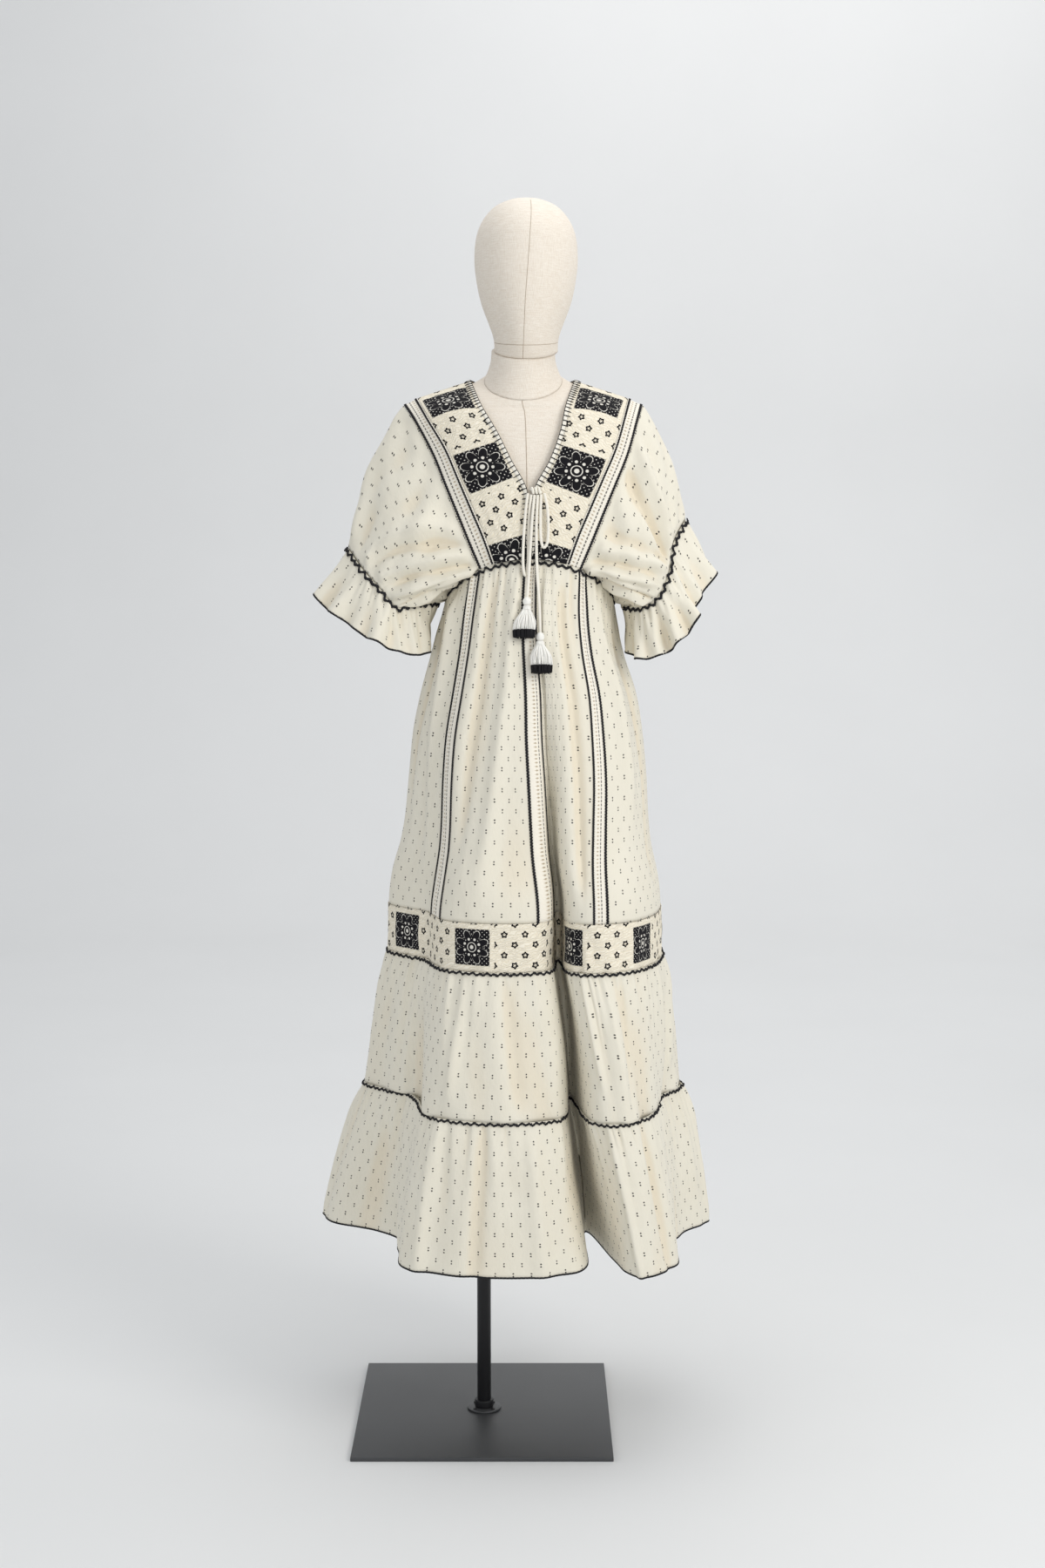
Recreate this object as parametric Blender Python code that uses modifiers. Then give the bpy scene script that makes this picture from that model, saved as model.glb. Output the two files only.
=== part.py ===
"""Cream cotton peasant dress, worn by a limbless dress form on a pole and a square base plate.

Metres, +Z up. The origin is the centre of the base plate's underside, on the pole's axis. The wearer faces
-Y, so the wearer's right is at -X. Cloth is a thin wall: rows of points worked out from the garment's
seams and folds, thickened by a Solidify modifier.
"""
import math

import bmesh
import bpy
from mathutils import Matrix, Vector

# Cloth and seams
CLOTH = 0.0012
SEAM_GAP = 0.0003
TRIM_LIFT = 0.0019
RING_LIFT = 0.0024
BRAID_WIDTH = 0.0046
BRAID_THICKNESS = 0.0012
BINDING_WIDTH = 0.0055
EDGE_DROP = 0.003

# The dress hangs on an axis beside the pole
AXIS_X = 0.0616
LEAN = 0.012
LEAN_TOP = 1.615
LEAN_RUN = 0.09

# Heights of the skirt's seams
BAND_TOP = 0.825
BAND_BOTTOM = 0.752
TIER_SEAM = 0.530
HEM = 0.296
PUFF = 0.006
WIDE_FOLD = 14.5

# Angles on the waist seam, in degrees: 0 at the front, positive towards +X
FRONT_INNER = 25.0
FRONT_OUTER = 37.8
BACK_INNER = 154.0
BACK_OUTER = 142.0
SKIRT_LACE = {"right": (-44.0, -37.0), "centre": (-3.5, 4.0), "left": (35.0, 42.0)}

# Stand
PLATE_SIDE = 0.400
PLATE_THICKNESS = 0.006
POLE_RADIUS = 0.011
POLE_TOP = 0.9307
FLANGE_RADIUS = 0.027
FLANGE_THICKNESS = 0.003
FORM_SEGMENTS = 28
FORM_X = 0.0005
HEAD_X = 0.0055
NECK_X = 0.001

# Levels of the upper skirt: heights at front, side and back, the ring's shift, half width and depths,
# and the share of the band's folds that reaches the level
LEVELS = (
    # z_front, z_side, z_back, shift_x, half_width, front, back, folds
    (1.362, 1.298, 1.345, 0.0120, 0.1260, 0.120, 0.092, 0.00),
    (1.290, 1.252, 1.280, 0.0070, 0.1350, 0.135, 0.106, 0.05),
    (1.228, 1.210, 1.222, 0.0070, 0.1460, 0.147, 0.118, 0.10),
    (1.160, 1.154, 1.158, 0.0090, 0.1640, 0.158, 0.130, 0.17),
    (1.095, 1.095, 1.095, 0.0080, 0.1770, 0.167, 0.140, 0.26),
    (1.030, 1.030, 1.030, 0.0080, 0.1850, 0.175, 0.148, 0.38),
    (0.960, 0.960, 0.960, 0.0070, 0.1900, 0.182, 0.158, 0.54),
    (0.890, 0.890, 0.890, 0.0050, 0.1990, 0.190, 0.170, 0.76),
    (BAND_TOP, BAND_TOP, BAND_TOP, 0.0060, 0.2060, 0.196, 0.182, 0.92),
)
BAND_RING = (0.0040, 0.2130, 0.200, 0.190)

# Plan of the skirt's folds in millimetres: the angle where each crest or valley leaves the waist, and
# where it stands at the band, at the seam of the lower tier and at the hem
FOLDS = (
    # angle, band_x, band_y, tier_x, tier_y, hem_x, hem_y
    (-37.0, -124, -158, -146, -165, -184, -176),
    (-27.0, -92, -190, -110, -203, -128, -213),
    (-15.0, -38, -206, -45, -224, -45, -238),
    (-3.5, 23, -197, 33, -212, 52, -222),
    (2.5, 44, -168, 63, -174, 98, -178),
    (6.5, 49, -92, 67, -60, 95, -18),
    (9.5, 59, -92, 79, -60, 110, -14),
    (14.0, 64, -165, 91, -165, 137, -140),
    (21.0, 78, -200, 106, -215, 153, -208),
    (38.0, 114, -212, 148, -229, 196, -227),
    (53.0, 165, -184, 188, -183, 232, -172),
    (65.0, 198, -125, 207, -115, 241, -95),
    (77.0, 212, -65, 216, -50, 252, -14),
    (90.0, 217, 0, 245, -2, 288, 34),
    (104.0, 211, 55, 249, 55, 298, 92),
    (118.0, 188, 106, 222, 112, 262, 150),
    (130.0, 158, 122, 186, 128, 212, 154),
    (140.0, 138, 166, 163, 186, 186, 216),
    (153.0, 94, 206, 111, 234, 130, 264),
    (171.0, 42, 154, 52, 156, 62, 168),
    (193.0, -18, 216, -16, 240, -12, 268),
    (207.0, -60, 206, -68, 236, -80, 276),
    (225.0, -108, 156, -120, 154, -134, 170),
    (239.0, -152, 152, -168, 164, -192, 196),
    (251.0, -178, 112, -206, 138, -244, 200),
    (272.0, -209, 36, -240, 74, -308, 124),
    (285.0, -208, -8, -252, 38, -321, 74),
    (299.0, -178, -50, -212, -10, -262, 16),
    (312.0, -147, -84, -167, -56, -194, -42),
)

# Bodice seams at the wearer's left, mirrored for the right: shoulder first, waist last.
# Half widths, depths and heights of the neck edge and of the seams inside and outside the lace.
FRONT_SEAMS = (
    # neck x, y, z, inner x, y, z, outer x, y, z
    (0.0800, 0.004, 1.6360, 0.1620, 0.000, 1.6090, 0.1840, -0.001, 1.5980),
    (0.0640, -0.070, 1.5940, 0.1470, -0.050, 1.5760, 0.1690, -0.036, 1.5680),
    (0.0475, -0.090, 1.5530, 0.1260, -0.072, 1.5300, 0.1494, -0.056, 1.5200),
    (0.0290, -0.105, 1.5100, 0.1050, -0.092, 1.4820, 0.1290, -0.078, 1.4700),
    (0.0058, -0.114, 1.4660, 0.0847, -0.101, 1.4350, 0.1084, -0.090, 1.4200),
    (0.0022, -0.118, 1.4200, 0.0686, -0.107, 1.3980, 0.0930, -0.096, 1.3820),
)
BACK_SEAMS = (
    (0.0800, 0.004, 1.6360, 0.1620, 0.000, 1.6090, 0.1840, -0.001, 1.5980),
    (0.0570, 0.074, 1.6330, 0.1500, 0.054, 1.5860, 0.1720, 0.040, 1.5750),
    (0.0000, 0.094, 1.6180, 0.1330, 0.078, 1.5500, 0.1560, 0.060, 1.5400),
    (0.0000, 0.110, 1.5500, 0.1120, 0.090, 1.5000, 0.1360, 0.077, 1.4900),
    (0.0000, 0.113, 1.4800, 0.0950, 0.093, 1.4500, 0.1180, 0.086, 1.4400),
    (0.0000, 0.106, 1.4100, 0.0750, 0.094, 1.4000, 0.0980, 0.085, 1.3850),
)
BACK_NECK_ROWS = 2
YOKE_COLUMNS = 4
WAIST_RISE = 0.0008
ROWS_A_STEP = 2
BULGE = 0.005
SHOULDER_ROWS = 1.6

# Cuff and ruffle hem of each sleeve, from the top of the cuff by the front, the underarm and the back
CUFF_RIGHT = (
    # cuff x, y, z, ruffle hem x, y, z
    (-0.2696, 0.004, 1.3820, -0.3147, 0.002, 1.3121),
    (-0.2440, -0.052, 1.3490, -0.2950, -0.052, 1.2810),
    (-0.2180, -0.074, 1.3210, -0.2400, -0.092, 1.2480),
    (-0.1930, -0.080, 1.2915, -0.1900, -0.100, 1.2240),
    (-0.1640, -0.058, 1.2950, -0.1560, -0.076, 1.2180),
    (-0.1310, -0.010, 1.2975, -0.1500, -0.012, 1.2265),
    (-0.1620, 0.046, 1.2960, -0.1640, 0.056, 1.2200),
    (-0.2000, 0.068, 1.3030, -0.2050, 0.086, 1.2300),
    (-0.2410, 0.052, 1.3420, -0.2750, 0.064, 1.2680),
)
CUFF_LEFT = (
    (0.2518, 0.004, 1.4235, 0.2942, 0.002, 1.3457),
    (0.2300, -0.042, 1.3880, 0.2790, -0.048, 1.3120),
    (0.2215, -0.070, 1.3420, 0.2620, -0.084, 1.2740),
    (0.2040, -0.082, 1.3050, 0.2260, -0.100, 1.2260),
    (0.1780, -0.062, 1.2890, 0.1760, -0.080, 1.2110),
    (0.1560, -0.010, 1.2930, 0.1660, -0.012, 1.2280),
    (0.1780, 0.046, 1.2940, 0.1800, 0.056, 1.2180),
    (0.2030, 0.068, 1.3130, 0.2180, 0.086, 1.2380),
    (0.2340, 0.050, 1.3660, 0.2720, 0.062, 1.2900),
)
CUFF_COLUMNS = 32
WAIST_COLUMNS = 5
SLEEVE_ROWS = 5
SLEEVE_RISE = 0.0026
CORNER_GAP = 0.0014
CUFF_SETBACK = 0.0012
SLEEVE_SPREAD = 0.35
SLEEVE_SWELL = 0.014
RUFFLE_WAVES = 5
RUFFLE_WAVE = 0.006

# Dress form: height at the middle, rise from front to middle and from middle to back, half width, depths
TORSO = (
    # z, rise_front, rise_back, half_width, front, back
    (1.6360, 0.52, 0.52, 0.0600, 0.068, 0.055),
    (1.6290, 0.45, 0.10, 0.0850, 0.070, 0.070),
    (1.6170, 0.33, 0.05, 0.1180, 0.071, 0.080),
    (1.6050, 0.22, 0.03, 0.1465, 0.072, 0.085),
    (1.5900, 0.10, 0.00, 0.1620, 0.076, 0.090),
    (1.5600, 0.00, 0.00, 0.1690, 0.084, 0.099),
    (1.5000, 0.00, 0.00, 0.1650, 0.100, 0.103),
    (1.4500, 0.00, 0.00, 0.1500, 0.107, 0.100),
    (1.4000, 0.00, 0.00, 0.1350, 0.107, 0.092),
    (1.3400, 0.00, 0.00, 0.1170, 0.098, 0.080),
    (1.2700, 0.00, 0.00, 0.1080, 0.090, 0.076),
    (1.2000, 0.00, 0.00, 0.1130, 0.092, 0.084),
    (1.1200, 0.00, 0.00, 0.1370, 0.098, 0.102),
    (1.0400, 0.00, 0.00, 0.1560, 0.100, 0.116),
    (0.9800, 0.00, 0.00, 0.1560, 0.096, 0.110),
    (0.9450, 0.00, 0.00, 0.1460, 0.086, 0.098),
    (0.9310, 0.00, 0.00, 0.1250, 0.070, 0.082),
)
NECK = (
    (1.6363, 0.52, 0.52, 0.0600, 0.068, 0.055),
    (1.6490, 0.45, 0.45, 0.0545, 0.064, 0.054),
    (1.6640, 0.38, 0.38, 0.0500, 0.061, 0.054),
    (1.6807, 0.30, 0.30, 0.0485, 0.060, 0.055),
)
HEAD = (
    (1.6810, 0.30, 0.30, 0.0485, 0.060, 0.055),
    (1.7000, 0.12, 0.12, 0.0500, 0.078, 0.058),
    (1.7210, 0.04, 0.04, 0.0570, 0.087, 0.068),
    (1.7500, 0.00, 0.00, 0.0680, 0.094, 0.084),
    (1.7800, 0.00, 0.00, 0.0750, 0.097, 0.095),
    (1.8150, 0.00, 0.00, 0.0790, 0.096, 0.101),
    (1.8500, 0.00, 0.00, 0.0765, 0.091, 0.099),
    (1.8750, 0.00, 0.00, 0.0670, 0.078, 0.087),
    (1.8950, 0.00, 0.00, 0.0500, 0.057, 0.063),
    (1.9060, 0.00, 0.00, 0.0280, 0.032, 0.035),
    (1.9090, 0.00, 0.00, 0.0100, 0.011, 0.012),
)

# Drawstring: routes beside the dress's axis, from the bow at the bottom of the V
CORD_RADIUS = 0.0023
BOW_AT = (0.0203, -0.1199, 1.4640)
BOW_HALF = (0.0125, 0.0050, 0.0060)
CORD_ROUTES = {
    "bow_loop_right": (
        (0.0080, -0.1210, 1.4600), (0.0043, -0.1240, 1.4300), (0.0015, -0.1260, 1.3900),
        (0.0008, -0.1300, 1.3560), (0.0035, -0.1320, 1.3390), (0.0073, -0.1284, 1.3430),
        (0.0084, -0.1264, 1.3580), (0.0086, -0.1228, 1.3760), (0.0090, -0.1220, 1.4050),
        (0.0105, -0.1212, 1.4350), (0.0129, -0.1210, 1.4582),
    ),
    "bow_loop_left": (
        (0.0325, -0.1210, 1.4600), (0.0368, -0.1240, 1.4400), (0.0385, -0.1250, 1.4100),
        (0.0370, -0.1265, 1.3870), (0.0310, -0.1275, 1.3800), (0.0275, -0.1270, 1.3930),
        (0.0268, -0.1255, 1.4200), (0.0276, -0.1210, 1.4582),
    ),
    "drawstring_right": (
        (0.0178, -0.1210, 1.4576), (0.0142, -0.1268, 1.4200), (0.0112, -0.1310, 1.3700),
        (0.0090, -0.1370, 1.3300), (0.0070, -0.1430, 1.3060),
    ),
    "drawstring_left": (
        (0.0227, -0.1210, 1.4576), (0.0207, -0.1265, 1.4100), (0.0215, -0.1330, 1.3500),
        (0.0250, -0.1430, 1.2950), (0.0262, -0.1500, 1.2540),
    ),
}
TASSELS = {
    # middle of the bead x, y, z, and its shift from the tassel's middle
    "right": ((0.0066, -0.1450, 1.2998), -0.0040),
    "left": ((0.0262, -0.1525, 1.2478), 0.0020),
}
BEAD_RADIUS = 0.0064
TASSEL_RADIUS = 0.0180
TASSEL_NECK = 0.0060
TASSEL_HEIGHT = 0.037
TASSEL_TIP = 0.012
TASSEL_FLATNESS = 0.50
TASSEL_TILT = 15.0
BEAD_STOPS = (20, 55, 90, 125, 160)
TASSEL_SEGMENTS = 12


# Materials
PALETTE = {
    # name: colour, roughness, metallic
    "cotton": ((0.86, 0.80, 0.68, 1.0), 0.85, 0.0),
    "embroidered": ((0.84, 0.77, 0.64, 1.0), 0.90, 0.0),
    "lace": ((0.86, 0.82, 0.73, 1.0), 0.90, 0.0),
    "braid": ((0.012, 0.012, 0.014, 1.0), 0.80, 0.0),
    "cord": ((0.85, 0.79, 0.68, 1.0), 0.80, 0.0),
    "linen": ((0.80, 0.72, 0.62, 1.0), 0.90, 0.0),
    "steel": ((0.025, 0.026, 0.028, 1.0), 0.40, 0.6),
}


def finish(name):
    """The Principled BSDF material of a sub-part, made from the palette."""
    colour, roughness, metallic = PALETTE[name]
    material = bpy.data.materials.new(name)
    material.use_nodes = True
    shader = material.node_tree.nodes["Principled BSDF"]
    shader.inputs["Base Color"].default_value = colour
    shader.inputs["Roughness"].default_value = roughness
    shader.inputs["Metallic"].default_value = metallic
    return material


def clear_scene():
    """Removes every object and returns the collection that the dress goes in."""
    for obj in list(bpy.data.objects):
        bpy.data.objects.remove(obj, do_unlink=True)
    collection = bpy.data.collections.new("peasant dress on a dress form")
    bpy.context.scene.collection.children.link(collection)
    return collection


# Curves
def smooth_point(knots, points, at, period=None):
    """Point at a knot value on the smooth curve through the points, closed if it has a period."""
    count = len(points)
    if period:
        at = knots[0] + (at - knots[0]) % period
    index = max(i for i in range(count) if knots[i] <= at + 1e-9)
    if not period:
        index = min(index, count - 2)

    def knot(i):
        turns, place = divmod(i, count)
        return knots[place] + turns * period if period else knots[i]

    def point(i):
        return points[i % count] if period else points[i]

    def slope(i):
        before, after = i - 1, i + 1
        if not period:
            before, after = max(before, 0), min(after, count - 1)
        return (point(after) - point(before)) / (knot(after) - knot(before))

    span = knot(index + 1) - knot(index)
    t = (at - knot(index)) / span
    start, end = point(index), point(index + 1)
    return (
        start * (2 * t**3 - 3 * t**2 + 1)
        + slope(index) * span * (t**3 - 2 * t**2 + t)
        + end * (3 * t**2 - 2 * t**3)
        + slope(index + 1) * span * (t**3 - t**2)
    )


def lean(z):
    """Sideways shift of the bodice's middle line at a height: the dress leans to the wearer's left."""
    t = min(max((LEAN_TOP - z) / LEAN_RUN, 0.0), 1.0)
    return LEAN * t * t * (3 - 2 * t)


# Skirt
FOLD_ANGLES = [row[0] for row in FOLDS]
BAND_PLAN = [Vector((row[1], row[2])) / 1000 for row in FOLDS]
TIER_PLAN = [Vector((row[3], row[4])) / 1000 for row in FOLDS]
HEM_PLAN = [Vector((row[5], row[6])) / 1000 for row in FOLDS]


def ellipse(angle, shift, half_width, front, back):
    """Plan point of a ring that is an ellipse, deeper in front than behind or the other way."""
    turn = math.radians(angle)
    depth = front if math.cos(turn) > 0 else back
    return Vector((shift + half_width * math.sin(turn), -depth * math.cos(turn)))


def plan_at(plan, angle):
    """Plan point of a folded ring at an angle of the waist."""
    return smooth_point(FOLD_ANGLES, plan, angle, period=360.0)


def seam_height(angle, z_front, z_side, z_back):
    """Height of a ring that dips at the sides."""
    c = math.cos(math.radians(angle))
    high = z_front if c > 0 else z_back
    return z_side + (high - z_side) * abs(c) ** 1.2


def upper_point(angle, level):
    """Point of the upper skirt at an angle of the waist and a row of LEVELS."""
    z_front, z_side, z_back, shift, half_width, front, back, folds = level
    folded = plan_at(BAND_PLAN, angle) - ellipse(angle, *BAND_RING)
    x, y = ellipse(angle, shift, half_width, front, back) + folded * folds
    return Vector((AXIS_X + x, y, seam_height(angle, z_front, z_side, z_back)))


def tier_point(angle, above, below, share, z, puff=0.0):
    """Point between two folded plans, pushed out a little where the cloth is gathered."""
    x, y = plan_at(above, angle).lerp(plan_at(below, angle), share)
    out = Vector((x, y)).normalized() * puff
    return Vector((AXIS_X + x + out.x, y + out.y, z))


def waist_point(angle, rise=0.0):
    """Point of the waist seam."""
    return upper_point(angle, LEVELS[0]) + Vector((0, 0, rise))


# Surfaces
def facing(before, after, up, down):
    """Unit normal of a patch from its across and down directions."""
    return (down - up).cross(after - before).normalized()


def lifted(rows, lift, closed=False, outward=1.0):
    """The grid moved out by the same distance from each facet, also where the facets meet in a fold."""
    height, width = len(rows), len(rows[0])
    moved = []
    for i, row in enumerate(rows):
        up, down = rows[max(i - 1, 0)], rows[min(i + 1, height - 1)]
        done = []
        for j, p in enumerate(row):
            before = row[j - 1] if closed or j else None
            after = row[(j + 1) % width] if closed or j < width - 1 else None
            faces = []
            if before is not None:
                faces.append(facing(before, p, up[j], down[j]))
            if after is not None:
                faces.append(facing(p, after, up[j], down[j]))
            mean = sum(faces, Vector()).normalized()
            reach = lift / max(mean.dot(faces[0]), 0.4)
            done.append(p + mean * reach * outward)
        moved.append(done)
    return moved


def wall(collection, name, rows, material, closed=False, thickness=CLOTH, weld=False):
    """A wall of cloth through a grid of points: open faces thickened by Solidify."""
    mesh = bpy.data.meshes.new(name)
    shape = bmesh.new()
    grid = [[shape.verts.new(p) for p in row] for row in rows]
    width = len(rows[0])
    for i in range(len(rows) - 1):
        for j in range(width if closed else width - 1):
            k = (j + 1) % width
            shape.faces.new((grid[i][j], grid[i + 1][j], grid[i + 1][k], grid[i][k]))
    if weld:
        bmesh.ops.remove_doubles(shape, verts=shape.verts, dist=0.00005)
    bmesh.ops.recalc_face_normals(shape, faces=shape.faces)
    shape.to_mesh(mesh)
    shape.free()
    mesh.shade_smooth()
    mesh.materials.append(material)
    obj = bpy.data.objects.new(name, mesh)
    collection.objects.link(obj)
    solid = obj.modifiers.new("Cloth thickness", "SOLIDIFY")
    solid.thickness = thickness
    solid.offset = 0.0
    return obj


def loft(collection, name, sections, shift, segments, material):
    """A closed solid through elliptical sections that may fall towards the front."""
    mesh = bpy.data.meshes.new(name)
    shape = bmesh.new()
    rings = []
    for z, rise_front, rise_back, half_width, front, back in sections:
        ring = []
        for k in range(segments):
            x, y = ellipse(360.0 * k / segments, shift, half_width, front, back)
            rise = y * (rise_front if y < 0 else rise_back)
            ring.append(shape.verts.new((AXIS_X + x, y, z + rise)))
        rings.append(ring)
    for upper, lower in zip(rings, rings[1:]):
        for k in range(segments):
            m = (k + 1) % segments
            shape.faces.new((upper[k], lower[k], lower[m], upper[m]))
    shape.faces.new(rings[0])
    shape.faces.new(rings[-1])
    bmesh.ops.recalc_face_normals(shape, faces=shape.faces)
    shape.to_mesh(mesh)
    shape.free()
    mesh.shade_smooth()
    mesh.materials.append(material)
    obj = bpy.data.objects.new(name, mesh)
    collection.objects.link(obj)
    return obj


# Bodice
def seam_table(side, back):
    """Seam points of one quarter of the bodice: for each row the neck, inner and outer points."""
    rows = []
    for row in BACK_SEAMS if back else FRONT_SEAMS:
        points = [Vector(row[i : i + 3]) for i in (0, 3, 6)]
        rows.append([Vector((AXIS_X + side * p.x + lean(p.z), p.y, p.z)) for p in points])
    inner = BACK_INNER if back else FRONT_INNER
    outer = BACK_OUTER if back else FRONT_OUTER
    middle = 180.0 if back else 0.0
    neck = waist_point(middle)
    if not back:
        neck = neck + Vector((side * FRONT_SEAMS[-1][0], 0, 0))
    rows.append([neck, waist_point(side * inner), waist_point(side * outer)])
    return rows


def seam_row(table, r):
    """Neck, inner and outer points at a fractional row of a bodice table."""
    knots = list(range(len(table)))
    return [smooth_point(knots, [row[i] for row in table], r) for i in range(3)]


def toward(start, end, distance):
    """The point a distance from start on the way to end."""
    return start + (end - start).normalized() * distance


def neck_direction(table, r):
    """Unit vector across the neck binding, from the free edge into the cloth."""
    step = 0.05
    last = len(table) - 1
    before = seam_row(table, max(r - step, 0))[0]
    after = seam_row(table, min(r + step, last))[0]
    along = (after - before).normalized()
    neck, inner, _ = seam_row(table, r)
    across = inner - neck
    return (across - along * across.dot(along)).normalized()


def fractions(first, last, count):
    """Evenly spaced values from first to last."""
    return [first + (last - first) * k / (count - 1) for k in range(count)]


def yoke_rows(side, back):
    """Grid of one yoke half, from the neck binding to the inner seam, with a soft bulge."""
    table = seam_table(side, back)
    last = len(table) - 1
    facing_y = 1 if back else -1
    flat, over_shoulder = Vector((0, facing_y, 0)), Vector((0, facing_y * 0.7, 1.2))
    rows = []
    for r in fractions(0, last, last * ROWS_A_STEP + 1):
        neck, inner, _ = seam_row(table, r)
        if not back or r <= BACK_NECK_ROWS:
            neck = neck + neck_direction(table, r) * (BINDING_WIDTH + SEAM_GAP)
        inner = toward(inner, neck, SEAM_GAP / 2)
        row = []
        for t in fractions(0, 1, YOKE_COLUMNS):
            p = neck.lerp(inner, t)
            ease = 4 * t * (1 - t) * BULGE * min(r, 1.0)
            row.append(p + (over_shoulder if r < SHOULDER_ROWS else flat) * ease)
        rows.append(row)
    middle, edge = (180.0, BACK_INNER) if back else (0.0, FRONT_INNER)
    ends = rows[-1]
    rows[-1] = [ends[0] + Vector((0, 0, WAIST_RISE))]
    for t in fractions(0, 1, YOKE_COLUMNS)[1:]:
        rows[-1].append(waist_point(side * (middle + (edge - middle) * t), WAIST_RISE))
    rows[-1][-1].x = ends[-1].x
    rows[0] = [p + Vector((0, SEAM_GAP if back else -SEAM_GAP, 0)) for p in rows[0]]
    return rows


def lace_rows(side):
    """Grid of a yoke lace strip, from the back waist over the shoulder to the front waist."""
    rows = []
    for back in (True, False):
        table = seam_table(side, back)
        last = len(table) - 1
        steps = fractions(0, last, last * ROWS_A_STEP + 1)
        if back:
            steps = steps[::-1][:-1]
        for r in steps:
            _, inner, outer = seam_row(table, r)
            near, far = toward(inner, outer, SEAM_GAP), toward(outer, inner, SEAM_GAP)
            rows.append([near, far])
    rise = Vector((0, 0, WAIST_RISE))
    rows[0] = [p + rise for p in rows[0]]
    rows[-1] = [p + rise for p in rows[-1]]
    return rows


def yoke_braid_rows(side, outer_seam):
    """Strip that lies over one edge of a yoke lace, moved out from the cloth."""
    rows = []
    for back in (True, False):
        table = seam_table(side, back)
        last = len(table) - 1
        steps = fractions(0, last, last * ROWS_A_STEP + 1)
        if back:
            steps = steps[::-1][:-1]
        for r in steps:
            _, inner, outer = seam_row(table, r)
            seam, other = (outer, inner) if outer_seam else (inner, outer)
            pair = [toward(seam, other, SEAM_GAP), toward(seam, other, SEAM_GAP + BRAID_WIDTH)]
            rows.append(pair[::-1] if outer_seam else pair)
    end = Vector((0, 0, 0.0020))
    rows[0] = [p + end for p in rows[0]]
    rows[-1] = [p + end for p in rows[-1]]
    return lifted(rows, TRIM_LIFT, outward=side)


def binding_rows():
    """Strip along the whole neck edge, from one side of the slit round the back neck to the other."""
    path = []
    for side in (-1, 1):
        half = []
        for back, last, steps in ((False, 6, 13), (True, BACK_NECK_ROWS, 5)):
            table = seam_table(side, back)
            values = fractions(0, last, steps)
            if not back:
                values = values[::-1]
            for r in values[(1 if back else 0) :]:
                free = seam_row(table, r)[0]
                half.append([free, free + neck_direction(table, r) * BINDING_WIDTH])
        path.append(half)
    rows = path[0] + path[1][::-1][1:]
    rise = Vector((0, 0, WAIST_RISE))
    rows[0] = [p + rise for p in rows[0]]
    rows[-1] = [p + rise for p in rows[-1]]
    return rows


# Sleeves
def cuff_rings(side):
    """Cuff and ruffle hem rings of a sleeve: from the top, by the front, the underarm and the back."""
    table = CUFF_LEFT if side > 0 else CUFF_RIGHT
    count = len(table)
    knots = list(range(count))
    rings = []
    for start in (0, 3):
        points = [Vector(row[start : start + 3]) + Vector((AXIS_X, 0, 0)) for row in table]
        ring = [
            smooth_point(knots, points, count * k / CUFF_COLUMNS, period=count)
            for k in range(CUFF_COLUMNS)
        ]
        rings.append(ring)
    return rings


def armhole_ring(side):
    """Ring where a sleeve leaves the bodice, with the way the cloth leaves it at each point."""
    quarter = CUFF_COLUMNS // 2
    down_seam = quarter - WAIST_COLUMNS
    ring, ways = [], []
    for back in (False, True):
        table = seam_table(side, back)
        last = len(table) - 1
        outer_angle = BACK_OUTER if back else FRONT_OUTER
        points, leaving = [], []
        for k in range(down_seam + 1):
            _, inner, outer = seam_row(table, last * k / down_seam)
            way = (outer - inner).normalized()
            points.append(outer + way * (SEAM_GAP if k < down_seam else CORNER_GAP))
            leaving.append(way)
        for k in range(1, WAIST_COLUMNS):
            angle = outer_angle + (90.0 - outer_angle) * k / WAIST_COLUMNS
            points.append(waist_point(side * angle))
            leaving.append(leaving[down_seam])
        for k in range(down_seam, quarter):
            points[k] = points[k] + Vector((0, 0, SLEEVE_RISE))
            leaving[k] = None
        if back:
            points, leaving = points[:0:-1], leaving[:0:-1]
            ring.append(waist_point(side * 90.0, SLEEVE_RISE))
            ways.append(None)
        ring += points
        ways += leaving
    return ring, ways


def sleeve_rows(side):
    """Grid of a sleeve, from the seams of the bodice to the cuff."""
    (armhole, ways), cuff = armhole_ring(side), cuff_rings(side)[0]
    rows = []
    for t in fractions(0, 1, SLEEVE_ROWS):
        row = []
        for k in range(CUFF_COLUMNS):
            start, end = armhole[k], toward(cuff[k], armhole[k], CUFF_SETBACK)
            middle = start.lerp(end, 0.5)
            if ways[k] is not None:
                reach = (end - start).length * 0.5
                middle = middle.lerp(start + ways[k] * reach, SLEEVE_SPREAD)
            p = start * (1 - t) ** 2 + middle * 2 * t * (1 - t) + end * t * t
            around = 2 * math.pi * k / CUFF_COLUMNS
            swell = SLEEVE_SWELL * math.sin(math.pi * t) ** 2 * abs(math.sin(around))
            row.append(p + Vector((0, -swell if math.sin(around) > 0 else swell, 0)))
        rows.append(row)
    return rows


def ruffle_rows(side):
    """Grid of a sleeve ruffle, waved towards its hem."""
    cuff, hem = cuff_rings(side)
    middle = sum(cuff, Vector()) / len(cuff)
    rows = []
    for t in (0.008, 0.45, 0.96):
        row = []
        for k in range(CUFF_COLUMNS):
            p = cuff[k].lerp(hem[k], t)
            out = Vector((p.x - middle.x, p.y - middle.y, 0)).normalized()
            wave = math.sin(2 * math.pi * RUFFLE_WAVES * k / CUFF_COLUMNS)
            row.append(p + out * RUFFLE_WAVE * wave * t)
        rows.append(row)
    return rows


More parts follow.
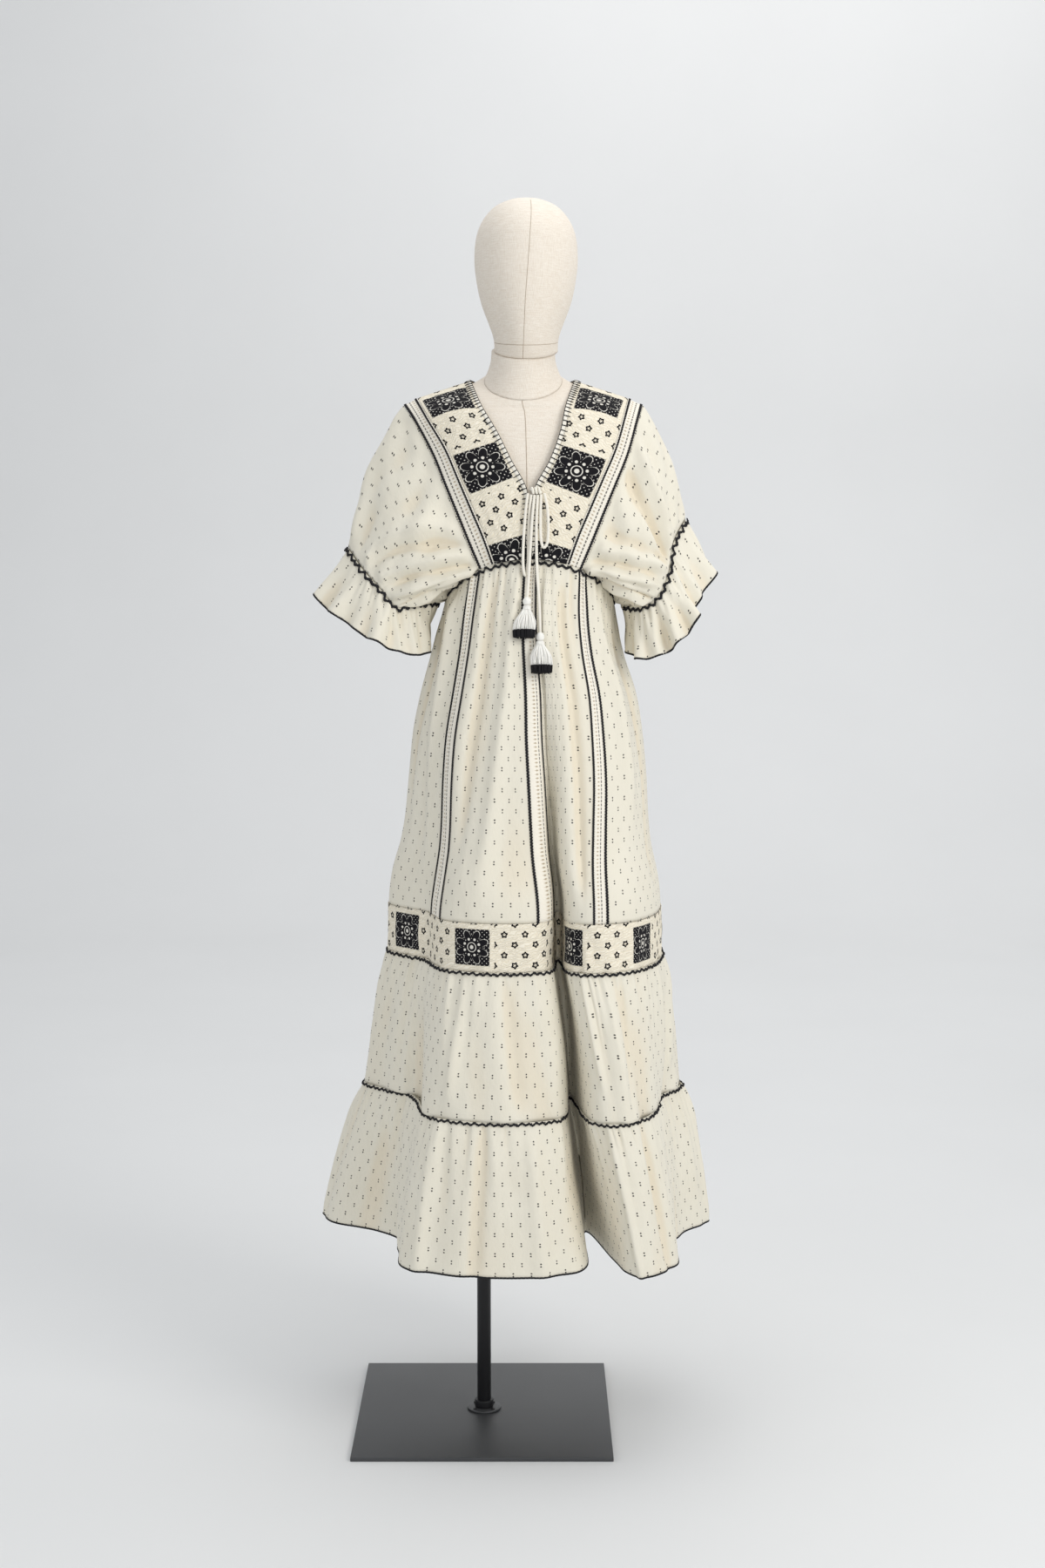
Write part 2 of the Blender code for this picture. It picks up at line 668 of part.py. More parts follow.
def continued(rows, gap, depth):
    """Two rows that carry on past the last row of a grid, after a gap."""
    ends = []
    for above, last in zip(rows[-2], rows[-1]):
        way = (last - above).normalized()
        ends.append((last + way * gap, last + way * (gap + depth)))
    return [[e[0] for e in ends], [e[1] for e in ends]]


def between(upper, lower, start, end):
    """Two rows on the facets between two grid rows, at distances below the upper one."""
    return [[toward(a, b, d) for a, b in zip(upper, lower)] for d in (start, end)]


# Skirt pieces
def ring_angles():
    """Angles of the skirt's columns: each fold's own, the middle of the wide ones and the lace seams."""
    angles = set()
    for index, angle in enumerate(FOLD_ANGLES):
        after = FOLD_ANGLES[index + 1] if index + 1 < len(FOLDS) else FOLD_ANGLES[0] + 360.0
        angles.add(angle)
        if after - angle > WIDE_FOLD:
            angles.add((angle + after) / 2)
    for pair in SKIRT_LACE.values():
        angles.update(pair)
    angles = sorted(a % 360.0 for a in angles)
    kept = [a for a, b in zip(angles, angles[1:] + [angles[0] + 360.0]) if b - a > 1.2]
    return kept


def skirt_panel(angles):
    """Grid of part of the upper skirt between two angles."""
    rows = [[upper_point(a, level) for a in angles] for level in LEVELS]
    rows[0] = [toward(p, q, SEAM_GAP) for p, q in zip(rows[0], rows[1])]
    rows[-1] = [p + Vector((0, 0, SEAM_GAP / 2)) for p in rows[-1]]
    return rows


def trimmed(rows, gap):
    """The grid with both side edges drawn in by a gap."""
    done = []
    for row in rows:
        first, last = toward(row[0], row[1], gap), toward(row[-1], row[-2], gap)
        done.append([first] + row[1:-1] + [last])
    return done


def angles_between(columns, start, end):
    """Ring angles from start to end, going round past 360 where needed."""
    start, end = start % 360.0, end % 360.0
    if end < start:
        end += 360.0
    inside = [a for a in columns + [c + 360.0 for c in columns] if start + 0.5 < a < end - 0.5]
    return [start] + inside + [end]


def build_skirt(collection, finishes):
    """Upper skirt with its lace strips, embroidered band, two tiers, braids and hem edge."""
    columns = ring_angles()
    right, centre, left = (SKIRT_LACE[key] for key in ("right", "centre", "left"))
    spans = {
        "skirt_front_right": (right[1], centre[0], "cotton"),
        "skirt_front_left": (centre[1], left[0], "cotton"),
        "skirt_back": (left[1], right[0], "cotton"),
        "skirt_lace_right": (*right, "lace"),
        "skirt_lace_centre": (*centre, "lace"),
        "skirt_lace_left": (*left, "lace"),
    }
    for name, (start, end, look) in spans.items():
        rows = skirt_panel(angles_between(columns, start, end))
        wall(collection, name, trimmed(rows, SEAM_GAP * 0.8), finishes[look])
    for place, pair in SKIRT_LACE.items():
        edges = ("inner", "outer") if place == "left" else ("outer", "inner")
        for edge, angle in zip(edges, pair):
            rows = []
            for row in skirt_panel([angle - 2.0, angle, angle + 2.0])[1:]:
                half = BRAID_WIDTH / 2
                rows.append([toward(row[1], row[0], half), row[1], toward(row[1], row[2], half)])
            rows = lifted(rows, TRIM_LIFT)
            wall(collection, f"skirt_braid_{place}_{edge}", rows, finishes["braid"],
                 thickness=BRAID_THICKNESS)
    band = [
        [upper_point(a, LEVELS[-1]) - Vector((0, 0, SEAM_GAP / 2)) for a in columns],
        [tier_point(a, BAND_PLAN, BAND_PLAN, 0, BAND_BOTTOM + SEAM_GAP / 2) for a in columns],
    ]
    wall(collection, "embroidered_band", band, finishes["embroidered"], closed=True)
    middle_tier = [
        [tier_point(a, BAND_PLAN, TIER_PLAN, share, z, puff) for a in columns]
        for share, z, puff in (
            (0.0, BAND_BOTTOM - SEAM_GAP / 2, 0.0),
            (0.20, BAND_BOTTOM * 0.8 + TIER_SEAM * 0.2, PUFF),
            (0.62, BAND_BOTTOM * 0.4 + TIER_SEAM * 0.6, PUFF),
            (1.0, TIER_SEAM + SEAM_GAP / 2, 0.0),
        )
    ]
    wall(collection, "middle_tier", middle_tier, finishes["cotton"], closed=True)
    foot = HEM + EDGE_DROP + SEAM_GAP
    lower_tier = [
        [tier_point(a, TIER_PLAN, HEM_PLAN, share, z, puff) for a in columns]
        for share, z, puff in (
            (0.0, TIER_SEAM - SEAM_GAP / 2, 0.0),
            (0.25, TIER_SEAM * 0.8 + foot * 0.2, PUFF),
            (0.62, TIER_SEAM * 0.4 + foot * 0.6, PUFF),
            (1.0, foot, 0.0),
        )
    ]
    wall(collection, "lower_tier", lower_tier, finishes["cotton"], closed=True)
    edge = [[Vector((p.x, p.y, z)) for p in lower_tier[-1]] for z in (HEM + EDGE_DROP, HEM)]
    wall(collection, "hem_edge", edge, finishes["braid"], closed=True, thickness=0.0016)
    seams = {
        "waist_braid": [[upper_point(a, level) for a in columns] for level in LEVELS[:2]],
        "band_braid": middle_tier[:2],
        "tier_braid": lower_tier[:2],
    }
    for name, (upper, lower) in seams.items():
        rows = lifted(between(upper, lower, 0.0022, 0.0022 + BRAID_WIDTH), RING_LIFT, closed=True)
        wall(collection, name, rows, finishes["braid"], closed=True, thickness=BRAID_THICKNESS)


def build_bodice(collection, finishes):
    """Yokes, yoke laces and their braids, neck binding and sleeves with their ruffles."""
    hands = {"right": -1, "left": 1}
    for hand, side in hands.items():
        wall(collection, f"front_yoke_{hand}", yoke_rows(side, False), finishes["embroidered"])
        wall(collection, f"yoke_lace_{hand}", lace_rows(side), finishes["lace"])
        for edge in ("inner", "outer"):
            rows = yoke_braid_rows(side, edge == "outer")
            wall(collection, f"yoke_braid_{hand}_{edge}", rows, finishes["braid"],
                 thickness=BRAID_THICKNESS)
        sleeve = sleeve_rows(side)
        ruffle = ruffle_rows(side)
        wall(collection, f"sleeve_{hand}", sleeve, finishes["cotton"], closed=True)
        wall(collection, f"sleeve_ruffle_{hand}", ruffle, finishes["cotton"], closed=True)
        braid = lifted(between(ruffle[0], ruffle[1], 0.0015, 0.0060), RING_LIFT, closed=True,
                       outward=side)
        wall(collection, f"sleeve_braid_{hand}", braid, finishes["braid"], closed=True,
             thickness=BRAID_THICKNESS)
        wall(collection, f"sleeve_edge_{hand}", continued(ruffle, SEAM_GAP, 0.0025),
             finishes["braid"], closed=True, thickness=0.0016)
    right, left = yoke_rows(-1, True), yoke_rows(1, True)
    build_back_yoke(collection, right, left, finishes["cotton"])
    wall(collection, "neck_binding", binding_rows(), finishes["embroidered"])


def build_back_yoke(collection, right, left, material):
    """The back yoke: both halves in one piece, joined down the middle below the neck."""
    mesh = bpy.data.meshes.new("back_yoke")
    shape = bmesh.new()
    for rows in (right, left):
        grid = [[shape.verts.new(p) for p in row] for row in rows]
        for i in range(len(rows) - 1):
            for j in range(len(rows[0]) - 1):
                corners = (grid[i][j], grid[i + 1][j], grid[i + 1][j + 1], grid[i][j + 1])
                shape.faces.new(corners)
    bmesh.ops.remove_doubles(shape, verts=shape.verts, dist=0.0002)
    bmesh.ops.recalc_face_normals(shape, faces=shape.faces)
    shape.to_mesh(mesh)
    shape.free()
    mesh.shade_smooth()
    mesh.materials.append(material)
    obj = bpy.data.objects.new("back_yoke", mesh)
    collection.objects.link(obj)
    solid = obj.modifiers.new("Cloth thickness", "SOLIDIFY")
    solid.thickness = CLOTH
    solid.offset = 0.0


# Drawstring
def build_cord(collection, name, route, material):
    """A round cord through its route, smoothed."""
    knots = list(range(len(route)))
    points = [Vector(p) + Vector((AXIS_X, 0, 0)) for p in route]
    length = sum((b - a).length for a, b in zip(points, points[1:]))
    count = max(6, int(length / (6 * CORD_RADIUS)))
    curve = bpy.data.curves.new(name, "CURVE")
    curve.dimensions = "3D"
    curve.bevel_depth = CORD_RADIUS
    curve.bevel_resolution = 2
    curve.use_fill_caps = True
    line = curve.splines.new("POLY")
    line.points.add(count)
    for k in range(count + 1):
        p = smooth_point(knots, points, (len(route) - 1) * k / count)
        line.points[k].co = (*p, 1.0)
    curve.materials.append(material)
    obj = bpy.data.objects.new(name, curve)
    collection.objects.link(obj)
    return obj


def build_drawstring(collection, finishes):
    """Bow, its two loops, the two cord ends and their tassels."""
    for name, route in CORD_ROUTES.items():
        build_cord(collection, name, route, finishes["cord"])
    bpy.ops.mesh.primitive_uv_sphere_add(segments=12, ring_count=6, radius=1.0)
    knot = bpy.context.object
    place(collection, knot, "bow_knot", finishes["cord"])
    knot.data.transform(scaling(*BOW_HALF))
    knot.location = Vector(BOW_AT) + Vector((AXIS_X, 0, 0))
    for hand, (middle, shift) in TASSELS.items():
        build_tassel(collection, hand, Vector(middle) + Vector((AXIS_X, 0, 0)), shift, finishes)


def scaling(x, y, z):
    """Matrix that scales a mesh along the three axes."""
    return Matrix.Diagonal((x, y, z, 1.0))


def place(collection, obj, name, material):
    """Names an object that an operator made, gives it its material and moves it to the collection."""
    obj.name = name
    obj.data.name = name
    obj.data.materials.clear()
    obj.data.materials.append(material)
    obj.data.shade_smooth()
    for owner in list(obj.users_collection):
        owner.objects.unlink(obj)
    collection.objects.link(obj)


def turned(collection, name, profile, flatness, material):
    """A closed turned piece from rows of radius, height and sideways shift, flatter in depth."""
    mesh = bpy.data.meshes.new(name)
    shape = bmesh.new()
    rings = []
    for radius, height, shift in profile:
        ring = []
        for k in range(TASSEL_SEGMENTS):
            turn = 2 * math.pi * k / TASSEL_SEGMENTS
            x, y = radius * math.cos(turn) + shift, radius * flatness * math.sin(turn)
            ring.append(shape.verts.new((x, y, height)))
        rings.append(ring)
    for upper, lower in zip(rings, rings[1:]):
        for k in range(TASSEL_SEGMENTS):
            m = (k + 1) % TASSEL_SEGMENTS
            shape.faces.new((upper[k], lower[k], lower[m], upper[m]))
    shape.faces.new(rings[0])
    shape.faces.new(rings[-1])
    bmesh.ops.recalc_face_normals(shape, faces=shape.faces)
    shape.to_mesh(mesh)
    shape.free()
    mesh.shade_smooth()
    mesh.materials.append(material)
    obj = bpy.data.objects.new(name, mesh)
    collection.objects.link(obj)
    return obj


def build_tassel(collection, hand, middle, shift, finishes):
    """Bead, tassel and black tip that hang from one cord end and lean on the skirt."""
    bead = []
    for stop in BEAD_STOPS:
        turn = math.radians(stop)
        bead.append((BEAD_RADIUS * math.sin(turn), BEAD_RADIUS * math.cos(turn), 0.0))
    top = bead[-1][1] - SEAM_GAP
    foot = top - TASSEL_HEIGHT
    tassel = (
        (TASSEL_NECK, top, 0.0),
        (TASSEL_NECK * 1.4, top - TASSEL_HEIGHT * 0.08, shift * 0.1),
        (TASSEL_RADIUS * 0.78, top - TASSEL_HEIGHT * 0.40, shift * 0.6),
        (TASSEL_RADIUS, foot, shift),
    )
    tip_top = foot - SEAM_GAP
    tip = ((TASSEL_RADIUS * 0.86, tip_top, shift), (TASSEL_RADIUS * 0.86, tip_top - TASSEL_TIP, shift))
    pieces = (
        turned(collection, f"tassel_bead_{hand}", bead, 1.0, finishes["cord"]),
        turned(collection, f"tassel_{hand}", tassel, TASSEL_FLATNESS, finishes["cord"]),
        turned(collection, f"tassel_tip_{hand}", tip, TASSEL_FLATNESS, finishes["braid"]),
    )
    for piece in pieces:
        piece.location = middle
        piece.rotation_euler = (-math.radians(TASSEL_TILT), 0, 0)


# Stand
def build_stand(collection, finishes):
    """Form, neck, head, pole, flange and base plate."""
    loft(collection, "form_torso", TORSO, FORM_X, FORM_SEGMENTS, finishes["linen"])
    loft(collection, "form_neck", NECK, NECK_X, FORM_SEGMENTS, finishes["linen"])
    loft(collection, "form_head", HEAD, HEAD_X, FORM_SEGMENTS, finishes["linen"])
    bpy.ops.mesh.primitive_cube_add(size=1.0)
    plate = bpy.context.object
    place(collection, plate, "base_plate", finishes["steel"])
    plate.data.transform(scaling(PLATE_SIDE, PLATE_SIDE, PLATE_THICKNESS))
    plate.location = (0, 0, PLATE_THICKNESS / 2)
    edge = plate.modifiers.new("Edge", "BEVEL")
    edge.width = 0.0008
    edge.segments = 1
    bottom = PLATE_THICKNESS + SEAM_GAP
    bpy.ops.mesh.primitive_cylinder_add(vertices=32, radius=FLANGE_RADIUS, depth=FLANGE_THICKNESS)
    flange = bpy.context.object
    place(collection, flange, "pole_flange", finishes["steel"])
    flange.location = (0, 0, bottom + FLANGE_THICKNESS / 2)
    foot = bottom + FLANGE_THICKNESS + SEAM_GAP
    bpy.ops.mesh.primitive_cylinder_add(vertices=24, radius=POLE_RADIUS, depth=POLE_TOP - foot)
    pole = bpy.context.object
    place(collection, pole, "pole", finishes["steel"])
    pole.location = (0, 0, (POLE_TOP + foot) / 2)


def main():
    """Builds the whole object."""
    collection = clear_scene()
    finishes = {name: finish(name) for name in PALETTE}
    build_stand(collection, finishes)
    build_bodice(collection, finishes)
    build_skirt(collection, finishes)
    build_drawstring(collection, finishes)


main()
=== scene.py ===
"""The looks of a cream cotton peasant dress on a limbless dress form with a pole and a square plate.

Metres, +Z up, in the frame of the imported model. The wearer faces -Y, so the wearer's right is at -X. Each piece
of cloth is a surface with two parameters: across the cloth, and down it from its top seam. Its creases are
heights along the surface's normal, and trims are laid on the creased surface.
"""

import logging
import math
from abc import ABC, abstractmethod
from dataclasses import dataclass, field
from enum import Enum

import bmesh
import bpy
import numpy as np
from mathutils import Matrix, Vector

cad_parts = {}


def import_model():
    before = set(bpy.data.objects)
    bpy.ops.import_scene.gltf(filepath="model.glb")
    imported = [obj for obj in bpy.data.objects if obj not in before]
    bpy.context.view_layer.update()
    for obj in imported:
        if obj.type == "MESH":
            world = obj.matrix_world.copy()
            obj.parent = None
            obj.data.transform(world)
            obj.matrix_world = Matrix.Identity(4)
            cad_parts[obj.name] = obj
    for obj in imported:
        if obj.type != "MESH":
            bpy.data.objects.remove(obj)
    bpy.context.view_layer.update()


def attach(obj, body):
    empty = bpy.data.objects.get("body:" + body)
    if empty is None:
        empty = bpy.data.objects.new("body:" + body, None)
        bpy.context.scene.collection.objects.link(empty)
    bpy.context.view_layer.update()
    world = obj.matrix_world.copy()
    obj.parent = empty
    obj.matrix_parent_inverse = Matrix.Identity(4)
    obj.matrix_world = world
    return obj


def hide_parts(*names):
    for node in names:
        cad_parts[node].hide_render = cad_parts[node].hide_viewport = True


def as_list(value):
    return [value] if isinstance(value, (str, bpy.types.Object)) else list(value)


LOG = logging.getLogger("peasant_dress")
BODY = "root"
Array = np.ndarray

AXIS_X = 0.0616
CLOTH = 0.0010
CREASE_DEPTH = 1.7


class Side(Enum):
    """The wearer's two sides, by the sign of X."""

    RIGHT = -1
    LEFT = 1

    @property
    def word(self) -> str:
        """The side's name as it stands in the names of pieces."""
        return self.name.lower()


class Face(Enum):
    """The front or the back of the bodice, by the sign of Y."""

    FRONT = -1
    BACK = 1


# Curves and fields
def eased(x: Array) -> Array:
    """A value from 0 to 1 with soft ends."""
    x = np.clip(x, 0.0, 1.0)
    return x * x * (3 - 2 * x)


def unit(v: Array) -> Array:
    """Vectors of length one."""
    return v / (np.linalg.norm(v, axis=-1, keepdims=True) + 1e-12)


@dataclass
class Spline:
    """A smooth curve through points at knot values, closed if it has a period."""

    knots: Array
    points: Array
    period: float | None = None

    def at(self, where: Array) -> Array:
        """Points of the curve.

        Args:
            where: knot values, in an array of any shape.

        Returns:
            The points, with the array's shape first.
        """
        knots, points = np.asarray(self.knots, float), np.asarray(self.points, float)
        where = np.asarray(where, float)
        if self.period:
            where = knots[0] + np.mod(where - knots[0], self.period)
            knots = np.concatenate([knots[-2:] - self.period, knots, knots[:2] + self.period])
            points = np.concatenate([points[-2:], points, points[:2]])
        tail = (1,) * (points.ndim - 1)
        slopes = np.empty_like(points)
        slopes[1:-1] = (points[2:] - points[:-2]) / (knots[2:] - knots[:-2]).reshape(-1, *tail)
        slopes[0] = (points[1] - points[0]) / (knots[1] - knots[0])
        slopes[-1] = (points[-1] - points[-2]) / (knots[-1] - knots[-2])
        i = np.clip(np.searchsorted(knots, where, side="right") - 1, 0, len(knots) - 2)
        span = (knots[i + 1] - knots[i]).reshape(*where.shape, *tail)
        t = (where - knots[i]).reshape(*where.shape, *tail) / span
        return (points[i] * (2 * t**3 - 3 * t**2 + 1) + slopes[i] * span * (t**3 - 2 * t**2 + t)
                + points[i + 1] * (3 * t**2 - 2 * t**3) + slopes[i + 1] * span * (t**3 - t**2))


@dataclass(frozen=True)
class Crease:
    """One soft fold, from its start to its end, in the surface's two parameters."""

    start: tuple[float, float]
    end: tuple[float, float]
    width: float
    height: float
    across: bool = False

    def at(self, a: Array, v: Array, period: float | None) -> Array:
        """Height of the fold.

        Args:
            a: the parameter across the cloth.
            v: the parameter down it.
            period: the length of a closed surface's first parameter.

        Returns:
            The height at each point, in metres.
        """
        (a0, v0), (a1, v1) = self.start, self.end
        if self.across:
            t = (a - a0) / (a1 - a0)
            off = v - (v0 + (v1 - v0) * t)
        else:
            t = (v - v0) / (v1 - v0)
            off = a - (a0 + (a1 - a0) * t)
            if period:
                off = (off + period / 2) % period - period / 2
        fade = eased((t + 0.25) / 0.4) * eased((1.25 - t) / 0.4)
        return CREASE_DEPTH * self.height * fade * np.exp(-((off / self.width) ** 2))


@dataclass(frozen=True)
class Gathers:
    """Small uneven creases that fan out from a gathered edge."""

    seed: int
    count: int
    height: float
    reach: float
    from_end: bool = False

    def at(self, share: Array, away: Array) -> Array:
        """Height of the creases.

        Args:
            share: place along the edge, from 0 to 1, closed or not.
            away: distance from the edge, as a share of the reach.

        Returns:
            The height at each point, in metres.
        """
        draw = np.random.default_rng(self.seed)
        total = np.zeros(np.broadcast(share, away).shape)
        for k in range(self.count):
            centre = (k + draw.uniform(-0.35, 0.35)) / self.count
            width = draw.uniform(0.22, 0.5) / self.count
            length = draw.uniform(0.35, 1.5)
            height = draw.uniform(0.4, 1.0) * draw.choice((1.0, 1.0, -0.8))
            drift = draw.uniform(-0.5, 0.5) / self.count
            off = (share - centre - drift * away + 0.5) % 1.0 - 0.5
            spread = width * (1 + 0.5 * np.clip(away, 0, 3))
            total += height * np.exp(-((off / spread) ** 2)) * np.exp(-((away / length) ** 1.6))
        return total * self.height


@dataclass(frozen=True)
class Unevenness:
    """A smooth uneven field from a few waves, closed along its first parameter."""

    seed: int
    low: int
    high: int
    down: float

    def at(self, share: Array, v: Array) -> Array:
        """Values of about -1 to 1 at places along the edge (0 to 1) and down the cloth (0 to 1)."""
        draw = np.random.default_rng(self.seed)
        total = np.zeros(np.broadcast(share, v).shape)
        for _ in range(7):
            turns = int(draw.integers(self.low, self.high + 1))
            slant, phase = draw.uniform(-self.down, self.down), draw.uniform(0, 2 * math.pi)
            total += np.sin(2 * math.pi * (turns * share + slant * v) + phase)
        return total / 3.0


# Meshes
@dataclass
class Grid:
    """Points in rows, with their places on the flat cloth in metres and on the motifs' own map."""

    points: Array
    flat: Array
    closed: bool = False
    outward: float = 1.0
    motif: Array | None = None
    # Crease heights in a third UV map, which the painted crease shade of dotted cotton reads.
    lie: Array | None = None

    def object(self, name: str, thickness: float = CLOTH) -> bpy.types.Object:
        """A wall of cloth with its two maps.

        Args:
            name: the piece's name.
            thickness: the wall's thickness, or 0 for the bare surface.

        Returns:
            The finished mesh object.
        """
        rows, columns = self.points.shape[:2]
        index = np.arange(rows * columns).reshape(rows, columns)
        if self.closed:
            index = np.concatenate([index, index[:, :1]], 1)

        def corners(table: Array) -> Array:
            loop = np.stack([table[:-1, :-1], table[1:, :-1], table[1:, 1:], table[:-1, 1:]], 2)
            return loop[:, :, ::-1] if self.outward < 0 else loop

        mesh = bpy.data.meshes.new(name)
        mesh.from_pydata(self.points.reshape(-1, 3).tolist(), [], corners(index).reshape(-1, 4).tolist())
        # The third map carries crease heights for the painted shade in crease valleys.
        maps = {"Cloth": self.flat, "Motif": self.motif, "Lie": self.lie}
        for layer, table in maps.items():
            if table is not None:
                uv = mesh.uv_layers.new(name=layer)
                uv.data.foreach_set("uv", corners(table).astype(np.float32).ravel())
        mesh.shade_smooth()
        obj = bpy.data.objects.new(name, mesh)
        bpy.context.scene.collection.objects.link(obj)
        if thickness:
            wall = obj.modifiers.new("Cloth thickness", "SOLIDIFY")
            wall.thickness = thickness
            wall.offset = 0.0
            apply_modifiers(obj)
        return obj


def cut_of(grid: Grid, fullness: float = 1.0) -> tuple[float, float, float]:
    """The width, length and area that a piece was cut to.

    Args:
        grid: the finished piece's surface.
        fullness: how much wider the cut is than the finished piece.

    Returns:
        Width, length and area.
    """
    points = np.concatenate([grid.points, grid.points[:, :1]], 1) if grid.closed else grid.points
    across, down = np.diff(points, axis=1), np.diff(points, axis=0)
    width = np.linalg.norm(across, axis=2).sum(1).max() * fullness
    length = np.linalg.norm(down, axis=2).sum(0).max()
    area = np.linalg.norm(np.cross(across[:-1], down[:, :-1]), axis=2).sum() * fullness
    return float(width), float(length), float(area)


def apply_modifiers(obj: bpy.types.Object) -> None:
    """Applies all modifiers of an object, with only that object selected."""
    bpy.ops.object.select_all(action="DESELECT")
    obj.select_set(True)
    bpy.context.view_layer.objects.active = obj
    for modifier in list(obj.modifiers):
        bpy.ops.object.modifier_apply(modifier=modifier.name)


def joined(name: str, parts: list[tuple[Array, list]]) -> bpy.types.Object:
    """One mesh object from several lists of points and faces."""
    points, faces, start = [], [], 0
    for these, loops in parts:
        points.append(these)
        faces += [[i + start for i in loop] for loop in loops]
        start += len(these)
    mesh = bpy.data.meshes.new(name)
    mesh.from_pydata(np.concatenate(points).tolist(), [], faces)
    mesh.shade_smooth()
    obj = bpy.data.objects.new(name, mesh)
    bpy.context.scene.collection.objects.link(obj)
    return obj


def tube(path: Array, radius: Array | float, sides: int = 6, profile: Array | None = None) -> tuple[Array, list]:
    """A closed tube along a path.

    Args:
        path: the points that it follows.
        radius: its radius, or one for each point.
        sides: how many points it has around.
        profile: factors on the radius, for each point and side.

    Returns:
        Its points and its faces.
    """
    along = unit(np.gradient(path, axis=0))
    first = np.cross(along[0], (0.31, 0.83, 0.47))
    across, last = [], unit(first)
    for way in along:
        last = unit(last - way * np.dot(last, way))
        across.append(last)
    across = np.array(across)
    other = np.cross(along, across)
    turns = 2 * math.pi * np.arange(sides) / sides
    radius = np.broadcast_to(np.asarray(radius, float), (len(path),))[:, None]
    radius = radius * (profile if profile is not None else 1.0)
    ring = (across[:, None] * np.cos(turns)[None, :, None] + other[:, None] * np.sin(turns)[None, :, None])
    points = path[:, None] + ring * np.broadcast_to(radius, (len(path), sides))[..., None]
    index = np.arange(len(path) * sides).reshape(len(path), sides)
    index = np.concatenate([index, index[:, :1]], 1)
    loops = np.stack([index[:-1, :-1], index[:-1, 1:], index[1:, 1:], index[1:, :-1]], 2).reshape(-1, 4).tolist()
    loops += [index[0, :-1][::-1].tolist(), index[-1, :-1].tolist()]
    return points.reshape(-1, 3), loops


def resampled(path: Array, normals: Array, step: float) -> tuple[Array, Array]:
    """A path and its normals at an even step."""
    length = np.concatenate([[0], np.cumsum(np.linalg.norm(np.diff(path, axis=0), axis=1))])
    where = np.linspace(0, length[-1], max(4, int(length[-1] / step)))
    points = np.stack([np.interp(where, length, path[:, i]) for i in range(3)], 1)
    ways = np.stack([np.interp(where, length, normals[:, i]) for i in range(3)], 1)
    return points, unit(ways)


@dataclass(frozen=True)
class Trim:
    """A narrow braid that is laid on cloth."""

    width: float
    thickness: float
    pitch: float
    picot: float = 0.3
    wobble: float = 0.0
    wave: float = 0.013

    def object(self, name: str, path: Array, normals: Array, closed: bool) -> bpy.types.Object:
        """The braid along a path on the cloth.

        Args:
            name: the piece's name.
            path: points of the cloth under its middle.
            normals: the cloth's normals there.
            closed: whether it runs round to its start.

        Returns:
            The mesh object.
        """
        if closed:
            path, normals = np.concatenate([path, path[:1]]), np.concatenate([normals, normals[:1]])
        points, up = resampled(path, normals, self.pitch / 4)
        if closed:
            points, up = points[:-1], up[:-1]
            along = unit(np.roll(points, -1, 0) - np.roll(points, 1, 0))
        else:
            along = unit(np.gradient(points, axis=0))
        side = unit(np.cross(along, up))
        s = np.arange(len(points)) * self.pitch / 4
        sway = np.sin(2 * math.pi * s / self.wave + 2.0 * np.sin(s * 31.0)) + 0.5 * np.sin(s * 260.0 + 1.0)
        points = points + side * (self.wobble * sway)[:, None]
        knot = np.abs(np.sin(math.pi * s / self.pitch))
        other = np.abs(np.cos(math.pi * s / self.pitch))
        left, right = 1 - self.picot + self.picot * knot, 1 - self.picot + self.picot * other
        height = self.thickness * (0.75 + 0.25 * knot)
        section = ((-1.0, 0.0), (-0.55, 0.85), (0.0, 0.55), (0.55, 0.85), (1.0, 0.0), (0.0, -0.5))
        rings = []
        for place, rise in section:
            half = self.width / 2 * (left if place < 0 else right) * place
            rings.append(points + side * half[:, None] + up * (height * rise * 0.5)[:, None])
        ring = np.stack(rings, 1)
        count, sides = ring.shape[:2]
        index = np.arange(count * sides).reshape(count, sides)
        index = np.concatenate([index, index[:, :1]], 1)
        if closed:
            index = np.concatenate([index, index[:1]], 0)
        loops = np.stack([index[:-1, :-1], index[:-1, 1:], index[1:, 1:], index[1:, :-1]], 2)
        loops = loops.reshape(-1, 4).tolist()
        if not closed:
            loops += [index[0, :-1][::-1].tolist(), index[-1, :-1].tolist()]
        return joined(name, [(ring.reshape(-1, 3), loops)])


